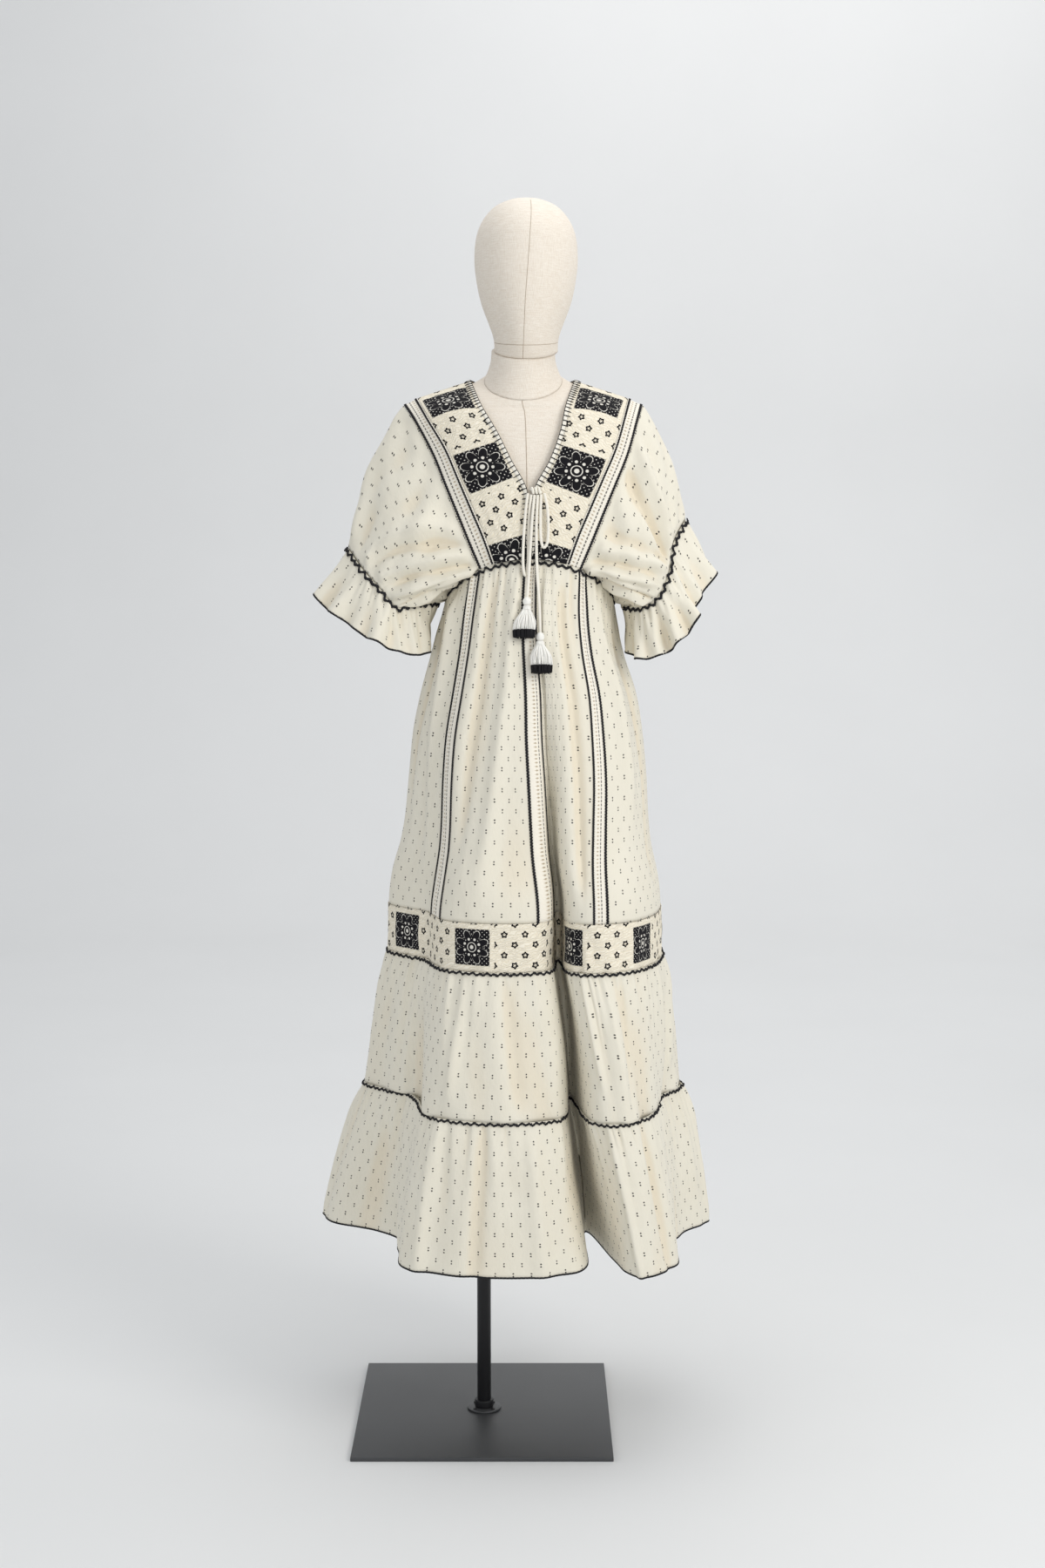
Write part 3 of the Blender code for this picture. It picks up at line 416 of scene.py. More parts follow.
class Surface(ABC):
    """A creased surface of cloth with two parameters."""

    outward: float = 1.0
    steps: tuple[float, float] = (0.5, 0.02)

    @abstractmethod
    def form(self, a: Array, v: Array) -> Array:
        """The smooth surface's points."""

    def relief(self, a: Array, v: Array) -> Array:
        """Height of the creases over the smooth surface."""
        return np.zeros(np.broadcast(a, v).shape)

    def normals(self, a: Array, v: Array) -> Array:
        """Outward unit normals of the smooth surface."""
        da, dv = self.steps
        across = self.form(a + da, v) - self.form(a - da, v)
        down = self.form(a, v + dv) - self.form(a, v - dv)
        return unit(np.cross(down, across)) * self.outward

    def at(self, a: Array, v: Array, lift: float = 0.0) -> Array:
        """Points of the creased surface, moved out by a lift."""
        a, v = np.broadcast_arrays(np.asarray(a, float), np.asarray(v, float))
        return self.form(a, v) + self.normals(a, v) * (self.relief(a, v) + lift)[..., None]

    def line(self, a: Array, v: Array, lift: float = 0.0) -> tuple[Array, Array]:
        """A path on the creased surface and the normals along it."""
        a, v = np.broadcast_arrays(np.asarray(a, float), np.asarray(v, float))
        return self.at(a, v, lift), self.normals(a, v)

    def grid(self, a: Array, v: Array, closed: bool = False, lift: float = 0.0) -> Grid:
        """The creased surface as a grid.

        Args:
            a: values across the cloth.
            v: values down it.
            closed: whether the rows run round to their start.
            lift: how far the grid is moved out.

        Returns:
            The grid, with the flat cloth's own measures and the crease heights for the painted crease shade.
        """
        points = self.at(a[None, :], v[:, None], lift)
        smooth = self.form(*np.broadcast_arrays(a[None, :], v[:, None]))
        # Crease heights, scaled into a third UV map that drives the painted crease shade.
        height = self.relief(*np.broadcast_arrays(a[None, :], v[:, None])) / LIE_SCALE + 0.5
        if closed:
            height = np.concatenate([height, height[:, :1]], 1)
        lie = np.stack([height, np.zeros_like(height)], 2)
        return Grid(points, flat_map(smooth, closed), closed, self.outward, lie=lie)


def flat_map(points: Array, closed: bool) -> Array:
    """Places on the flat cloth: along the longest row and down the mean column, in metres."""
    ring = np.concatenate([points, points[:, :1]], 1) if closed else points
    steps = np.linalg.norm(np.diff(ring, axis=1), axis=2)
    widest = steps[np.argmax(steps.sum(1))]
    u = np.concatenate([[0], np.cumsum(widest)])
    drop = np.linalg.norm(np.diff(points, axis=0), axis=2).mean(1)
    v = np.concatenate([[0], np.cumsum(drop)])
    return np.stack(np.broadcast_arrays(u[None, :], v[:, None]), 2)


# Shaders
class Value:
    """A shader value that sums can be written with."""

    def __init__(self, graph: "Graph", socket: bpy.types.NodeSocket) -> None:
        """Keeps the socket that the value comes from."""
        self.graph, self.socket = graph, socket

    def __add__(self, other: "Value | float") -> "Value":
        """Sum."""
        return self.graph.math("ADD", self, other)

    def __radd__(self, other: float) -> "Value":
        """Sum with a number first."""
        return self.graph.math("ADD", other, self)

    def __sub__(self, other: "Value | float") -> "Value":
        """Difference."""
        return self.graph.math("SUBTRACT", self, other)

    def __rsub__(self, other: float) -> "Value":
        """Difference from a number."""
        return self.graph.math("SUBTRACT", other, self)

    def __mul__(self, other: "Value | float") -> "Value":
        """Product."""
        return self.graph.math("MULTIPLY", self, other)

    def __rmul__(self, other: float) -> "Value":
        """Product with a number first."""
        return self.graph.math("MULTIPLY", other, self)

    def __truediv__(self, other: "Value | float") -> "Value":
        """Quotient."""
        return self.graph.math("DIVIDE", self, other)


class Graph:
    """A material's nodes, built by calls that read as sums."""

    def __init__(self, name: str) -> None:
        """Starts a material with an empty surface.

        Args:
            name: the material's name.
        """
        self.material = bpy.data.materials.new(name)
        self.material.use_nodes = True
        self.tree = self.material.node_tree
        self.shader = self.tree.nodes["Principled BSDF"]

    def put(self, socket: bpy.types.NodeSocket, value: "Value | float | tuple") -> None:
        """Links a value to a socket, or sets the socket's own number."""
        if isinstance(value, Value):
            self.tree.links.new(value.socket, socket)
        else:
            socket.default_value = value

    def math(self, operation: str, a: "Value | float", b: "Value | float" = 0.0) -> Value:
        """One step of arithmetic."""
        node = self.tree.nodes.new("ShaderNodeMath")
        node.operation = operation
        self.put(node.inputs[0], a)
        self.put(node.inputs[1], b)
        return Value(self, node.outputs[0])

    def step(self, low: float, high: float, value: Value) -> Value:
        """0 below low and 1 above high, or the other way round, with a soft change between."""
        node = self.tree.nodes.new("ShaderNodeMapRange")
        node.interpolation_type = "SMOOTHSTEP"
        flip = low > high
        self.put(node.inputs["Value"], value)
        node.inputs["From Min"].default_value = min(low, high)
        node.inputs["From Max"].default_value = max(low, high)
        node.inputs["To Min"].default_value = 1.0 if flip else 0.0
        node.inputs["To Max"].default_value = 0.0 if flip else 1.0
        return Value(self, node.outputs["Result"])

    def uv(self, layer: str) -> tuple[Value, Value]:
        """The two values of a UV map."""
        node = self.tree.nodes.new("ShaderNodeUVMap")
        node.uv_map = layer
        split = self.tree.nodes.new("ShaderNodeSeparateXYZ")
        self.tree.links.new(node.outputs["UV"], split.inputs[0])
        return Value(self, split.outputs["X"]), Value(self, split.outputs["Y"])

    def place(self) -> tuple[Value, Value, Value]:
        """The object's own coordinates."""
        node = self.tree.nodes.new("ShaderNodeTexCoord")
        split = self.tree.nodes.new("ShaderNodeSeparateXYZ")
        self.tree.links.new(node.outputs["Object"], split.inputs[0])
        return tuple(Value(self, split.outputs[i]) for i in range(3))

    def vector(self, x: "Value | float", y: "Value | float", z: "Value | float" = 0.0) -> Value:
        """Three values as a vector."""
        node = self.tree.nodes.new("ShaderNodeCombineXYZ")
        for socket, value in zip(node.inputs, (x, y, z)):
            self.put(socket, value)
        return Value(self, node.outputs[0])

    def noise(self, where: Value, scale: float, detail: float = 2.0) -> Value:
        """Cloudy noise from 0 to 1 at a vector."""
        node = self.tree.nodes.new("ShaderNodeTexNoise")
        self.tree.links.new(where.socket, node.inputs["Vector"])
        node.inputs["Scale"].default_value = scale
        node.inputs["Detail"].default_value = detail
        return Value(self, node.outputs["Fac"])

    def blend(self, share: Value, low: "Value | tuple", high: "Value | tuple") -> Value:
        """A colour between two, by a share."""
        node = self.tree.nodes.new("ShaderNodeMix")
        node.data_type = "RGBA"
        self.tree.links.new(share.socket, node.inputs["Factor"])
        for socket, value in ((node.inputs[6], low), (node.inputs[7], high)):
            self.put(socket, value if isinstance(value, Value) else (*value, 1.0))
        return Value(self, node.outputs[2])

    def finished(self, colour: "Value | tuple", roughness: "Value | float", height: Value | None,
                 depth: float, **numbers: float) -> bpy.types.Material:
        """Joins everything to the surface.

        Args:
            colour: the base colour.
            roughness: the roughness.
            height: the relief, from 0 to 1.
            depth: the relief's depth in metres.
            numbers: other inputs of the shader that are the same all over.

        Returns:
            The material.
        """
        self.put(self.shader.inputs["Base Color"], colour if isinstance(colour, Value) else (*colour, 1.0))
        self.put(self.shader.inputs["Roughness"], roughness)
        for name, number in numbers.items():
            self.shader.inputs[name.replace("_", " ").title().replace("Ior", "IOR")].default_value = number
        if height is not None:
            bump = self.tree.nodes.new("ShaderNodeBump")
            bump.inputs["Strength"].default_value = 1.0
            bump.inputs["Distance"].default_value = depth
            self.tree.links.new(height.socket, bump.inputs["Height"])
            self.tree.links.new(bump.outputs["Normal"], self.shader.inputs["Normal"])
        return self.material


CREAM = (0.770, 0.720, 0.595)
# Painted shade: the warm tan that the crease valleys of dotted cotton are darkened towards.
PAINTED_CREASE_SHADE = (0.76, 0.62, 0.42)
INK = (0.006, 0.006, 0.008)
LIE_SCALE = 0.012
MOTIF_REACH = 0.0445


@dataclass(frozen=True)
class DottedCotton:
    """Fine cream cotton with woven pairs of small dark dots on a centred lattice, with painted shade in its crease
    valleys while folded is on.
    """

    name: str = "dotted_cotton"
    column: float = 0.027
    row: float = 0.031
    dot: tuple[float, float] = (0.0013, 0.0012)
    pair: float = 0.0020
    turned: bool = False
    # Whether the crease valleys get painted shade.
    folded: bool = True

    def lattice(self, g: Graph, u: Value, v: Value, shift: float) -> Value:
        """One of the two lattices of dot pairs: 1 on a dot."""
        x = (g.math("FRACT", u / self.column + shift) - 0.5) * self.column
        y = (g.math("FRACT", v / self.row + shift) - 0.5) * self.row
        away = g.math("ABSOLUTE", y) - self.pair
        round_ = g.math("POWER", x / self.dot[0], 2.0) + g.math("POWER", away / self.dot[1], 2.0)
        return g.step(1.35, 0.65, round_)

    def build(self) -> bpy.types.Material:
        """The material."""
        g = Graph(self.name)
        u, v = g.uv("Cloth")
        if self.turned:
            u, v = v, u
        where = g.vector(u, v)
        stir = g.noise(where, 420.0) - 0.5
        other = g.noise(g.vector(v, u), 420.0) - 0.5
        x, y = u + stir * 0.0016, v + other * 0.0016
        dots = g.math("MAXIMUM", self.lattice(g, x, y, 0.0), self.lattice(g, x, y, 0.5))
        cloud = g.noise(where, 14.0, 3.0)
        slub = g.noise(g.vector(u * 9.0, v), 90.0, 3.0)
        weft = g.noise(g.vector(u, v * 9.0), 90.0, 3.0)
        weave = (slub + weft) * 0.5
        cream = g.blend(cloud * 0.7 + weave * 0.3, CREAM, (0.820, 0.785, 0.680))
        # Painted shade: the cream turns towards a warm tan where the crease height in the third UV map is low.
        if self.folded:
            lie, _ = g.uv("Lie")
            cream = g.blend(g.step(0.50, 0.02, lie) * 0.30, cream, PAINTED_CREASE_SHADE)
        colour = g.blend(dots * 0.92, cream, INK)
        crumple = g.noise(g.vector(u, v * 0.45), 55.0, 4.0)
        height = crumple * 0.75 + weave * 0.12 + dots * 0.10
        return g.finished(colour, 0.92, height, 0.0022, sheen_weight=0.12, sheen_roughness=0.5,
                          specular_ior_level=0.25)


@dataclass(frozen=True)
class EmbroideredCotton:
    """Crinkled cream cotton with star flowers and black squares that hold a round flower of eight petals."""

    name: str
    half: tuple[float, float]
    star_gap: float = 0.031
    star_radius: float = 0.0034

    def flower(self, g: Graph, x: Value, y: Value) -> tuple[Value, Value]:
        """The square's pattern: 1 where the cream thread shows, and 1 on its raised beads."""
        radius = g.math("SQRT", x * x + y * y)
        turn = g.math("ARCTAN2", y, x)
        part = math.pi / 4
        fold = g.math("ABSOLUTE", (g.math("FRACT", turn / part + 8.0) - 0.5) * part)
        px, py = radius * g.math("COSINE", fold), radius * g.math("SINE", fold)
        petal = 0.96 - fold * fold * 3.4 - g.math("POWER", fold, 4.0) * 2.0
        rim = g.step(0.028, 0.012, g.math("ABSOLUTE", radius - petal)) * g.step(0.56, 0.64, radius)
        inside = g.step(0.02, -0.02, radius - petal)
        net = g.math("MINIMUM",
                     g.math("ABSOLUTE", g.math("FRACT", (x + y) * 4.2) - 0.5),
                     g.math("ABSOLUTE", g.math("FRACT", (x - y) * 4.2 + 50.0) - 0.5))
        corner = g.step(0.34, 0.40, net) * (1.0 - inside)
        bead_at = g.math("SQRT", g.math("POWER", px - 0.45, 2.0) + py * py)
        beads = g.step(0.088, 0.062, bead_at)
        ring = g.step(0.032, 0.014, g.math("ABSOLUTE", radius - 0.25))
        heart = g.step(0.13, 0.10, radius)
        cream = corner
        for part_ in (rim, beads, ring, heart):
            cream = g.math("MAXIMUM", cream, part_)
        return cream, g.math("MAXIMUM", beads, heart)

    def stars(self, g: Graph, u: Value, v: Value) -> Value:
        """Small flowers of five strokes on a centred lattice: 1 on a stroke."""
        found = None
        for shift in (0.0, 0.5):
            x = (g.math("FRACT", u / self.star_gap + shift) - 0.5) * self.star_gap
            y = (g.math("FRACT", v / self.star_gap + shift) - 0.5) * self.star_gap
            radius = g.math("SQRT", x * x + y * y)
            part = 2 * math.pi / 5
            turn = g.math("ARCTAN2", x, y) + shift
            fold = (g.math("FRACT", turn / part + 5.0) - 0.5) * part
            point = self.star_radius * 1.25 - g.math("ABSOLUTE", fold) * self.star_radius * 0.95
            line = g.step(0.00165, 0.00120, g.math("ABSOLUTE", radius - point))
            found = line if found is None else g.math("MAXIMUM", found, line)
        return found

    def build(self) -> bpy.types.Material:
        """The material."""
        g = Graph(self.name)
        u, v = g.uv("Cloth")
        mx, my = g.uv("Motif")
        where = g.vector(u, v)
        stir = (g.noise(where, 500.0) - 0.5) * 0.0011
        mx, my = mx + stir, my + stir
        x, y = mx / self.half[0], my / self.half[1]
        ragged = (g.noise(where, 700.0, 1.0) - 0.5) * 0.07
        edge = g.math("MAXIMUM", g.math("ABSOLUTE", x), g.math("ABSOLUTE", y)) + ragged
        square = g.step(1.01, 0.97, edge)
        near = g.step(1.22, 1.26, edge)
        thread, beads = self.flower(g, x, y)
        stars = self.stars(g, u + stir, v + stir) * near
        wave = g.noise(where, 120.0, 1.0) * 5.0
        crinkle = g.math("SINE", (u * 0.35 + v) * 1500.0 + wave * 3.2)
        crumple = g.noise(g.vector(u, v * 1.6), 210.0, 3.0)
        quilt = (crinkle * 0.5 + 0.5) * 0.5 + crumple * 0.5
        # Partly painted shade: the cream is darker and warmer where the crinkle's relief is low, mixed with random
        # tone from the crumple noise.
        cream = g.blend(quilt, (0.80, 0.71, 0.54), (0.94, 0.89, 0.77))
        dark = g.blend(crumple, INK, (0.016, 0.015, 0.017))
        motif = g.blend(thread, dark, (0.76, 0.73, 0.66))
        colour = g.blend(square, g.blend(stars, cream, INK), motif)
        height = quilt * (1.0 - square) * 0.6 + square * (0.25 + thread * 0.3 + beads * 0.45) + stars * 0.2
        return g.finished(colour, 0.95, height, 0.0022, sheen_weight=0.04, sheen_roughness=0.5,
                          specular_ior_level=0.1)


@dataclass(frozen=True)
class LaceThread:
    """Openwork cream lace, with painted shade in its holes and, more faintly, in the knots round them."""

    name: str = "lace_thread"

    def build(self) -> bpy.types.Material:
        """The material."""
        g = Graph(self.name)
        u, v = g.uv("Cloth")
        rung = g.math("FRACT", v / 0.0058)
        knot_v, dash_v = g.math("ABSOLUTE", rung - 0.5) * 0.0058, g.step(0.10, 0.16, rung) * g.step(0.82, 0.76, rung)
        knot = g.step(0.0021, 0.0012, knot_v + g.math("ABSOLUTE", u - 0.0060) * 0.8)
        eye = g.step(0.0013, 0.0007, knot_v + g.math("ABSOLUTE", u - 0.0060))
        dash = dash_v * g.step(0.00085, 0.00045, g.math("ABSOLUTE", u - 0.0100))
        fine = g.noise(g.vector(u, v), 900.0, 2.0)
        ribs = g.math("SINE", v * 3200.0) * 0.5 + 0.5
        cream = g.blend(fine, (0.87, 0.81, 0.69), (0.94, 0.90, 0.81))
        # Painted shade: the holes are a warm tan, and the knots round them are half as much.
        colour = g.blend(g.math("MAXIMUM", knot * 0.55, eye), cream, (0.60, 0.49, 0.34))
        colour = g.blend(dash * 0.8, colour, (0.045, 0.040, 0.036))
        height = (1.0 - g.math("MAXIMUM", eye, dash)) * 0.7 + ribs * 0.15 + fine * 0.15
        return g.finished(colour, 0.93, height, 0.0015, specular_ior_level=0.2)


@dataclass(frozen=True)
class Thread:
    """Plain thread, cord or crochet of one colour with fine fibre."""

    name: str
    low: tuple[float, float, float]
    high: tuple[float, float, float]
    scale: float = 700.0
    depth: float = 0.0008
    roughness: float = 0.9

    def build(self) -> bpy.types.Material:
        """The material."""
        g = Graph(self.name)
        x, y, z = g.place()
        fibre = g.noise(g.vector(x, y, z), self.scale, 3.0)
        cloud = g.noise(g.vector(x, y, z), self.scale / 12, 2.0)
        colour = g.blend(fibre * 0.6 + cloud * 0.4, self.low, self.high)
        return g.finished(colour, self.roughness, fibre, self.depth, specular_ior_level=0.2)


@dataclass(frozen=True)
class Linen:
    """The form's plain linen cover."""

    name: str = "linen_cover"

    def build(self) -> bpy.types.Material:
        """The material."""
        g = Graph(self.name)
        x, y, z = g.place()
        warp = g.noise(g.vector(x * 14.0, y * 14.0, z), 75.0, 4.0)
        weft = g.noise(g.vector(x, y, z * 14.0), 75.0, 4.0)
        cloth = warp * 0.5 + weft * 0.5
        cloud = g.noise(g.vector(x, y, z), 9.0, 2.0)
        colour = g.blend(g.step(0.32, 0.68, cloth) * 0.75 + cloud * 0.25, (0.75, 0.66, 0.55), (0.90, 0.84, 0.75))
        return g.finished(colour, 0.95, cloth, 0.0009, sheen_weight=0.1, specular_ior_level=0.2)


@dataclass(frozen=True)
class PowderCoat:
    """Satin powder coat on steel."""

    name: str
    low: tuple[float, float, float]
    high: tuple[float, float, float]
    roughness: float

    def build(self) -> bpy.types.Material:
        """The material."""
        g = Graph(self.name)
        x, y, z = g.place()
        grain = g.noise(g.vector(x, y, z), 1400.0, 2.0)
        wear = g.noise(g.vector(x, y, z), 8.0, 3.0)
        colour = g.blend(wear, self.low, self.high)
        rough = wear * 0.12 + (self.roughness - 0.06)
        return g.finished(colour, rough, grain, 0.00015, metallic=0.3)


@dataclass(frozen=True)
class PlainPaint:
    """A matt painted studio surface with slight clouds."""

    name: str
    low: tuple[float, float, float]
    high: tuple[float, float, float]

    def build(self) -> bpy.types.Material:
        """The material."""
        g = Graph(self.name)
        x, y, z = g.place()
        cloud = g.noise(g.vector(x, y, z), 1.6, 3.0)
        return g.finished(g.blend(cloud, self.low, self.high), 0.8, None, 0.0)


@dataclass
class Wardrobe:
    """All finishes, and the one place where a piece gets its finish and joins the model."""

    finishes: dict[str, bpy.types.Material] = field(default_factory=dict)

    def __post_init__(self) -> None:
        """Builds every finish."""
        looks = (
            # The plain and turned dotted cottons have painted shade in their crease valleys; the third dotted cotton,
            # built with folded off, has none.
            DottedCotton(), DottedCotton(name="dotted_cotton_turned", turned=True),
            DottedCotton(name="dotted_cotton_flat", folded=False),
            EmbroideredCotton("embroidered_yoke", (0.0350, 0.0325)),
            EmbroideredCotton("embroidered_band", (0.0280, 0.0275)), LaceThread(),
            Thread("black_braid", (0.006, 0.006, 0.008), (0.035, 0.034, 0.036)),
            Thread("cream_cotton_thread", (0.84, 0.79, 0.68), (0.94, 0.91, 0.83), 900.0, 0.0004),
            Thread("tassel_thread", (0.88, 0.86, 0.80), (0.97, 0.96, 0.92), 900.0, 0.0004),
            Thread("seam_thread", (0.42, 0.34, 0.26), (0.55, 0.46, 0.36)),
            Linen(), PowderCoat("plate_coat", (0.050, 0.052, 0.055), (0.075, 0.077, 0.080), 0.38),
            PowderCoat("pole_coat", (0.006, 0.006, 0.007), (0.014, 0.014, 0.016), 0.42),
            PlainPaint("studio_floor", (0.79, 0.792, 0.787), (0.83, 0.832, 0.827)),
        )
        self.finishes = {look.name: look.build() for look in looks}

    def sheet(self, obj: bpy.types.Object, cut: tuple[float, float, float], held: str, rests_on: str,
              trims: tuple[bpy.types.Object, ...] = ()) -> None:
        """Logs the width, length and area that a piece of cloth was cut to.

        Args:
            obj: the piece.
            cut: the cut's width, length and area.
            held: how it is held; not used.
            rests_on: the node that it hangs from or lies on; not used.
            trims: the pieces sewn on it.
        """
        width, length, area = cut
        area = float(np.clip(area, 0.3 * width * length, width * length))
        LOG.info("CUT %s: %.3f x %.3f m, %.4f square metres", obj.name, width, length, area)
        list(trims)

    def dress(self, obj: bpy.types.Object, finish: str, slot: str, *nodes: str) -> bpy.types.Object:
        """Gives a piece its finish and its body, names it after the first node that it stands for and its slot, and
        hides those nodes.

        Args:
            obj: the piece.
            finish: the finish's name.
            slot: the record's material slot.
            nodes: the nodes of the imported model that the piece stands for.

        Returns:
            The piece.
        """
        if nodes:
            obj.name = obj.data.name = f"{nodes[0]}.{slot}"
        obj.data.materials.clear()
        obj.data.materials.append(self.finishes[finish])
        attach(obj, BODY)
        if nodes:
            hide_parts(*nodes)
        LOG.info("%s: %d faces", obj.name, len(obj.data.polygons) if obj.type == "MESH" else 0)
        return obj


# Skirt
def ellipse(turn: Array, shift: float, half: float, front: float, back: float) -> Array:
    """Plan points of a ring that is deeper in front than behind, or the other way."""
    turn = np.radians(turn)
    depth = np.where(np.cos(turn) > 0, front, back)
    return np.stack([shift + half * np.sin(turn), -depth * np.cos(turn)], -1)


class UpperSkirt(Surface):
    """The upper skirt: an angle of the waist across, a level from 0 to 8 down."""

    steps = (0.6, 0.05)
    band_top = 0.825
    # z_front, z_side, z_back, shift_x, half_width, front, back, share of the band's folds
    levels = (
        (1.362, 1.298, 1.345, 0.0120, 0.1260, 0.120, 0.092, 0.00),
        (1.290, 1.252, 1.280, 0.0070, 0.1350, 0.135, 0.106, 0.05),
        (1.228, 1.210, 1.222, 0.0070, 0.1460, 0.147, 0.118, 0.10),
        (1.160, 1.154, 1.158, 0.0090, 0.1640, 0.158, 0.130, 0.17),
        (1.095, 1.095, 1.095, 0.0080, 0.1770, 0.167, 0.140, 0.26),
        (1.030, 1.030, 1.030, 0.0080, 0.1850, 0.175, 0.148, 0.38),
        (0.960, 0.960, 0.960, 0.0070, 0.1900, 0.182, 0.158, 0.54),
        (0.890, 0.890, 0.890, 0.0050, 0.1990, 0.190, 0.170, 0.76),
        (band_top, band_top, band_top, 0.0060, 0.2060, 0.196, 0.182, 0.92),
    )
    band_ring = (0.0040, 0.2130, 0.200, 0.190)
    seam_from, seam_inset = 6.4, 0.993
    gathers = Gathers(seed=3, count=84, height=0.0052, reach=1.7)
    even = Unevenness(seed=5, low=6, high=17, down=1.2)
    creases = (
        Crease((-8.0, 0.4), (-20.0, 6.8), 3.6, 0.0060),
        Crease((-24.0, 0.3), (-31.0, 6.0), 3.2, -0.0045),
        Crease((11.0, 0.2), (9.0, 5.0), 3.0, 0.0050),
        Crease((22.0, 0.6), (27.0, 7.4), 3.6, -0.0045),
        Crease((52.0, 0.2), (56.0, 5.5), 4.0, 0.0055),
        Crease((-58.0, 0.2), (-52.0, 6.5), 4.0, 0.0060),
        Crease((-75.0, 0.4), (-72.0, 6.0), 3.6, -0.0040),
        Crease((78.0, 0.5), (72.0, 7.0), 3.6, -0.0040),
        Crease((112.0, 0.2), (118.0, 6.0), 4.0, 0.0055),
        Crease((137.0, 0.4), (146.0, 7.2), 3.4, -0.0050),
        Crease((163.0, 0.2), (156.0, 6.2), 3.6, 0.0060),
        Crease((186.0, 0.3), (182.0, 7.0), 3.2, -0.0050),
        Crease((208.0, 0.2), (214.0, 6.0), 4.0, 0.0055),
        Crease((236.0, 0.4), (229.0, 6.8), 3.6, 0.0050),
        Crease((258.0, 0.3), (262.0, 6.0), 3.4, -0.0045),
    )

    def __init__(self, folds: "Folds") -> None:
        """Keeps the folds that the upper skirt takes its lower edge from."""
        self.folds = folds

    def form(self, a: Array, v: Array) -> Array:
        """The smooth surface's points."""
        folded = self.folds.band.at(a) - ellipse(a, *self.band_ring)
        cos = np.cos(np.radians(a))
        columns = np.asarray(self.levels)
        row = Spline(np.arange(len(columns)), columns).at(np.clip(v, 0, 8))
        front, side, back = row[..., 0], row[..., 1], row[..., 2]
        z = side + (np.where(cos > 0, front, back) - side) * np.abs(cos) ** 1.2
        turn = np.radians(a)
        depth = np.where(cos > 0, row[..., 5], row[..., 6])
        x = row[..., 3] + row[..., 4] * np.sin(turn) + folded[..., 0] * row[..., 7]
        y = -depth * cos + folded[..., 1] * row[..., 7]
        seam = self.folds.band.at(a) * self.seam_inset
        last = eased((v - self.seam_from) / (8.0 - self.seam_from))
        x, y = AXIS_X + x + (seam[..., 0] - x) * last, y + (seam[..., 1] - y) * last
        z = z - np.clip(v - 8, 0, None) * 0.065 - np.clip(v, None, 0) * 0.065
        return np.stack([x, y, z], -1)

    def relief(self, a: Array, v: Array) -> Array:
        """Height of the creases."""
        share = np.mod(a, 360.0) / 360.0
        height = sum(c.at(a, v, 360.0) for c in self.creases) * eased(v / 0.8) * eased((8.0 - v) / 1.5)
        height = height + self.gathers.at(share, v / self.gathers.reach) * eased(v / 0.25 + 0.25)
        return height + self.even.at(share, v / 8) * 0.0036 * eased(v) * eased((8.0 - v) / 1.2)

    def waist(self, a: Array, rise: float = 0.0) -> Array:
        """Points of the waist seam."""
        a = np.asarray(a, float)
        return self.form(a, np.zeros_like(a)) + np.array((0, 0, rise))


@dataclass
class Folds:
    """Plan of the skirt's folds: the angle where each leaves the waist, and where it stands lower down."""

    # angle, then x and y in millimetres at the band, at the lower tier's seam and at the hem
    rows: tuple = (
        (-37.0, -124, -158, -146, -165, -184, -176), (-27.0, -92, -190, -110, -203, -128, -213),
        (-15.0, -38, -206, -45, -224, -45, -238), (-3.5, 23, -197, 33, -212, 52, -222),
        (2.5, 44, -168, 63, -174, 98, -178), (6.5, 49, -92, 67, -60, 95, -18),
        (9.5, 59, -92, 79, -60, 110, -14), (14.0, 64, -165, 91, -165, 137, -140),
        (21.0, 78, -200, 106, -215, 153, -208), (38.0, 114, -212, 148, -229, 196, -227),
        (53.0, 165, -184, 188, -183, 232, -172), (65.0, 198, -125, 207, -115, 241, -95),
        (77.0, 212, -65, 216, -50, 252, -14), (90.0, 217, 0, 245, -2, 288, 34),
        (104.0, 211, 55, 249, 55, 298, 92), (118.0, 188, 106, 222, 112, 262, 150),
        (130.0, 158, 122, 186, 128, 212, 154), (140.0, 138, 166, 163, 186, 186, 216),
        (153.0, 94, 206, 111, 234, 130, 264), (171.0, 42, 154, 52, 156, 62, 168),
        (193.0, -18, 216, -16, 240, -12, 268), (207.0, -60, 206, -68, 236, -80, 276),
        (225.0, -108, 156, -120, 154, -134, 170), (239.0, -152, 152, -168, 164, -192, 196),
        (251.0, -178, 112, -206, 138, -244, 200), (272.0, -209, 36, -240, 74, -308, 124),
        (285.0, -208, -8, -252, 38, -321, 74), (299.0, -178, -50, -212, -10, -262, 16),
        (312.0, -147, -84, -167, -56, -194, -42),
    )

    def plan(self, column: int) -> Spline:
        """The closed curve through two of the table's columns."""
        table = np.asarray(self.rows, float)
        return Spline(table[:, 0], table[:, column : column + 2] / 1000, 360.0)

    def __post_init__(self) -> None:
        """Makes the three plans."""
        self.band, self.tier, self.hem = (self.plan(c) for c in (1, 3, 5))


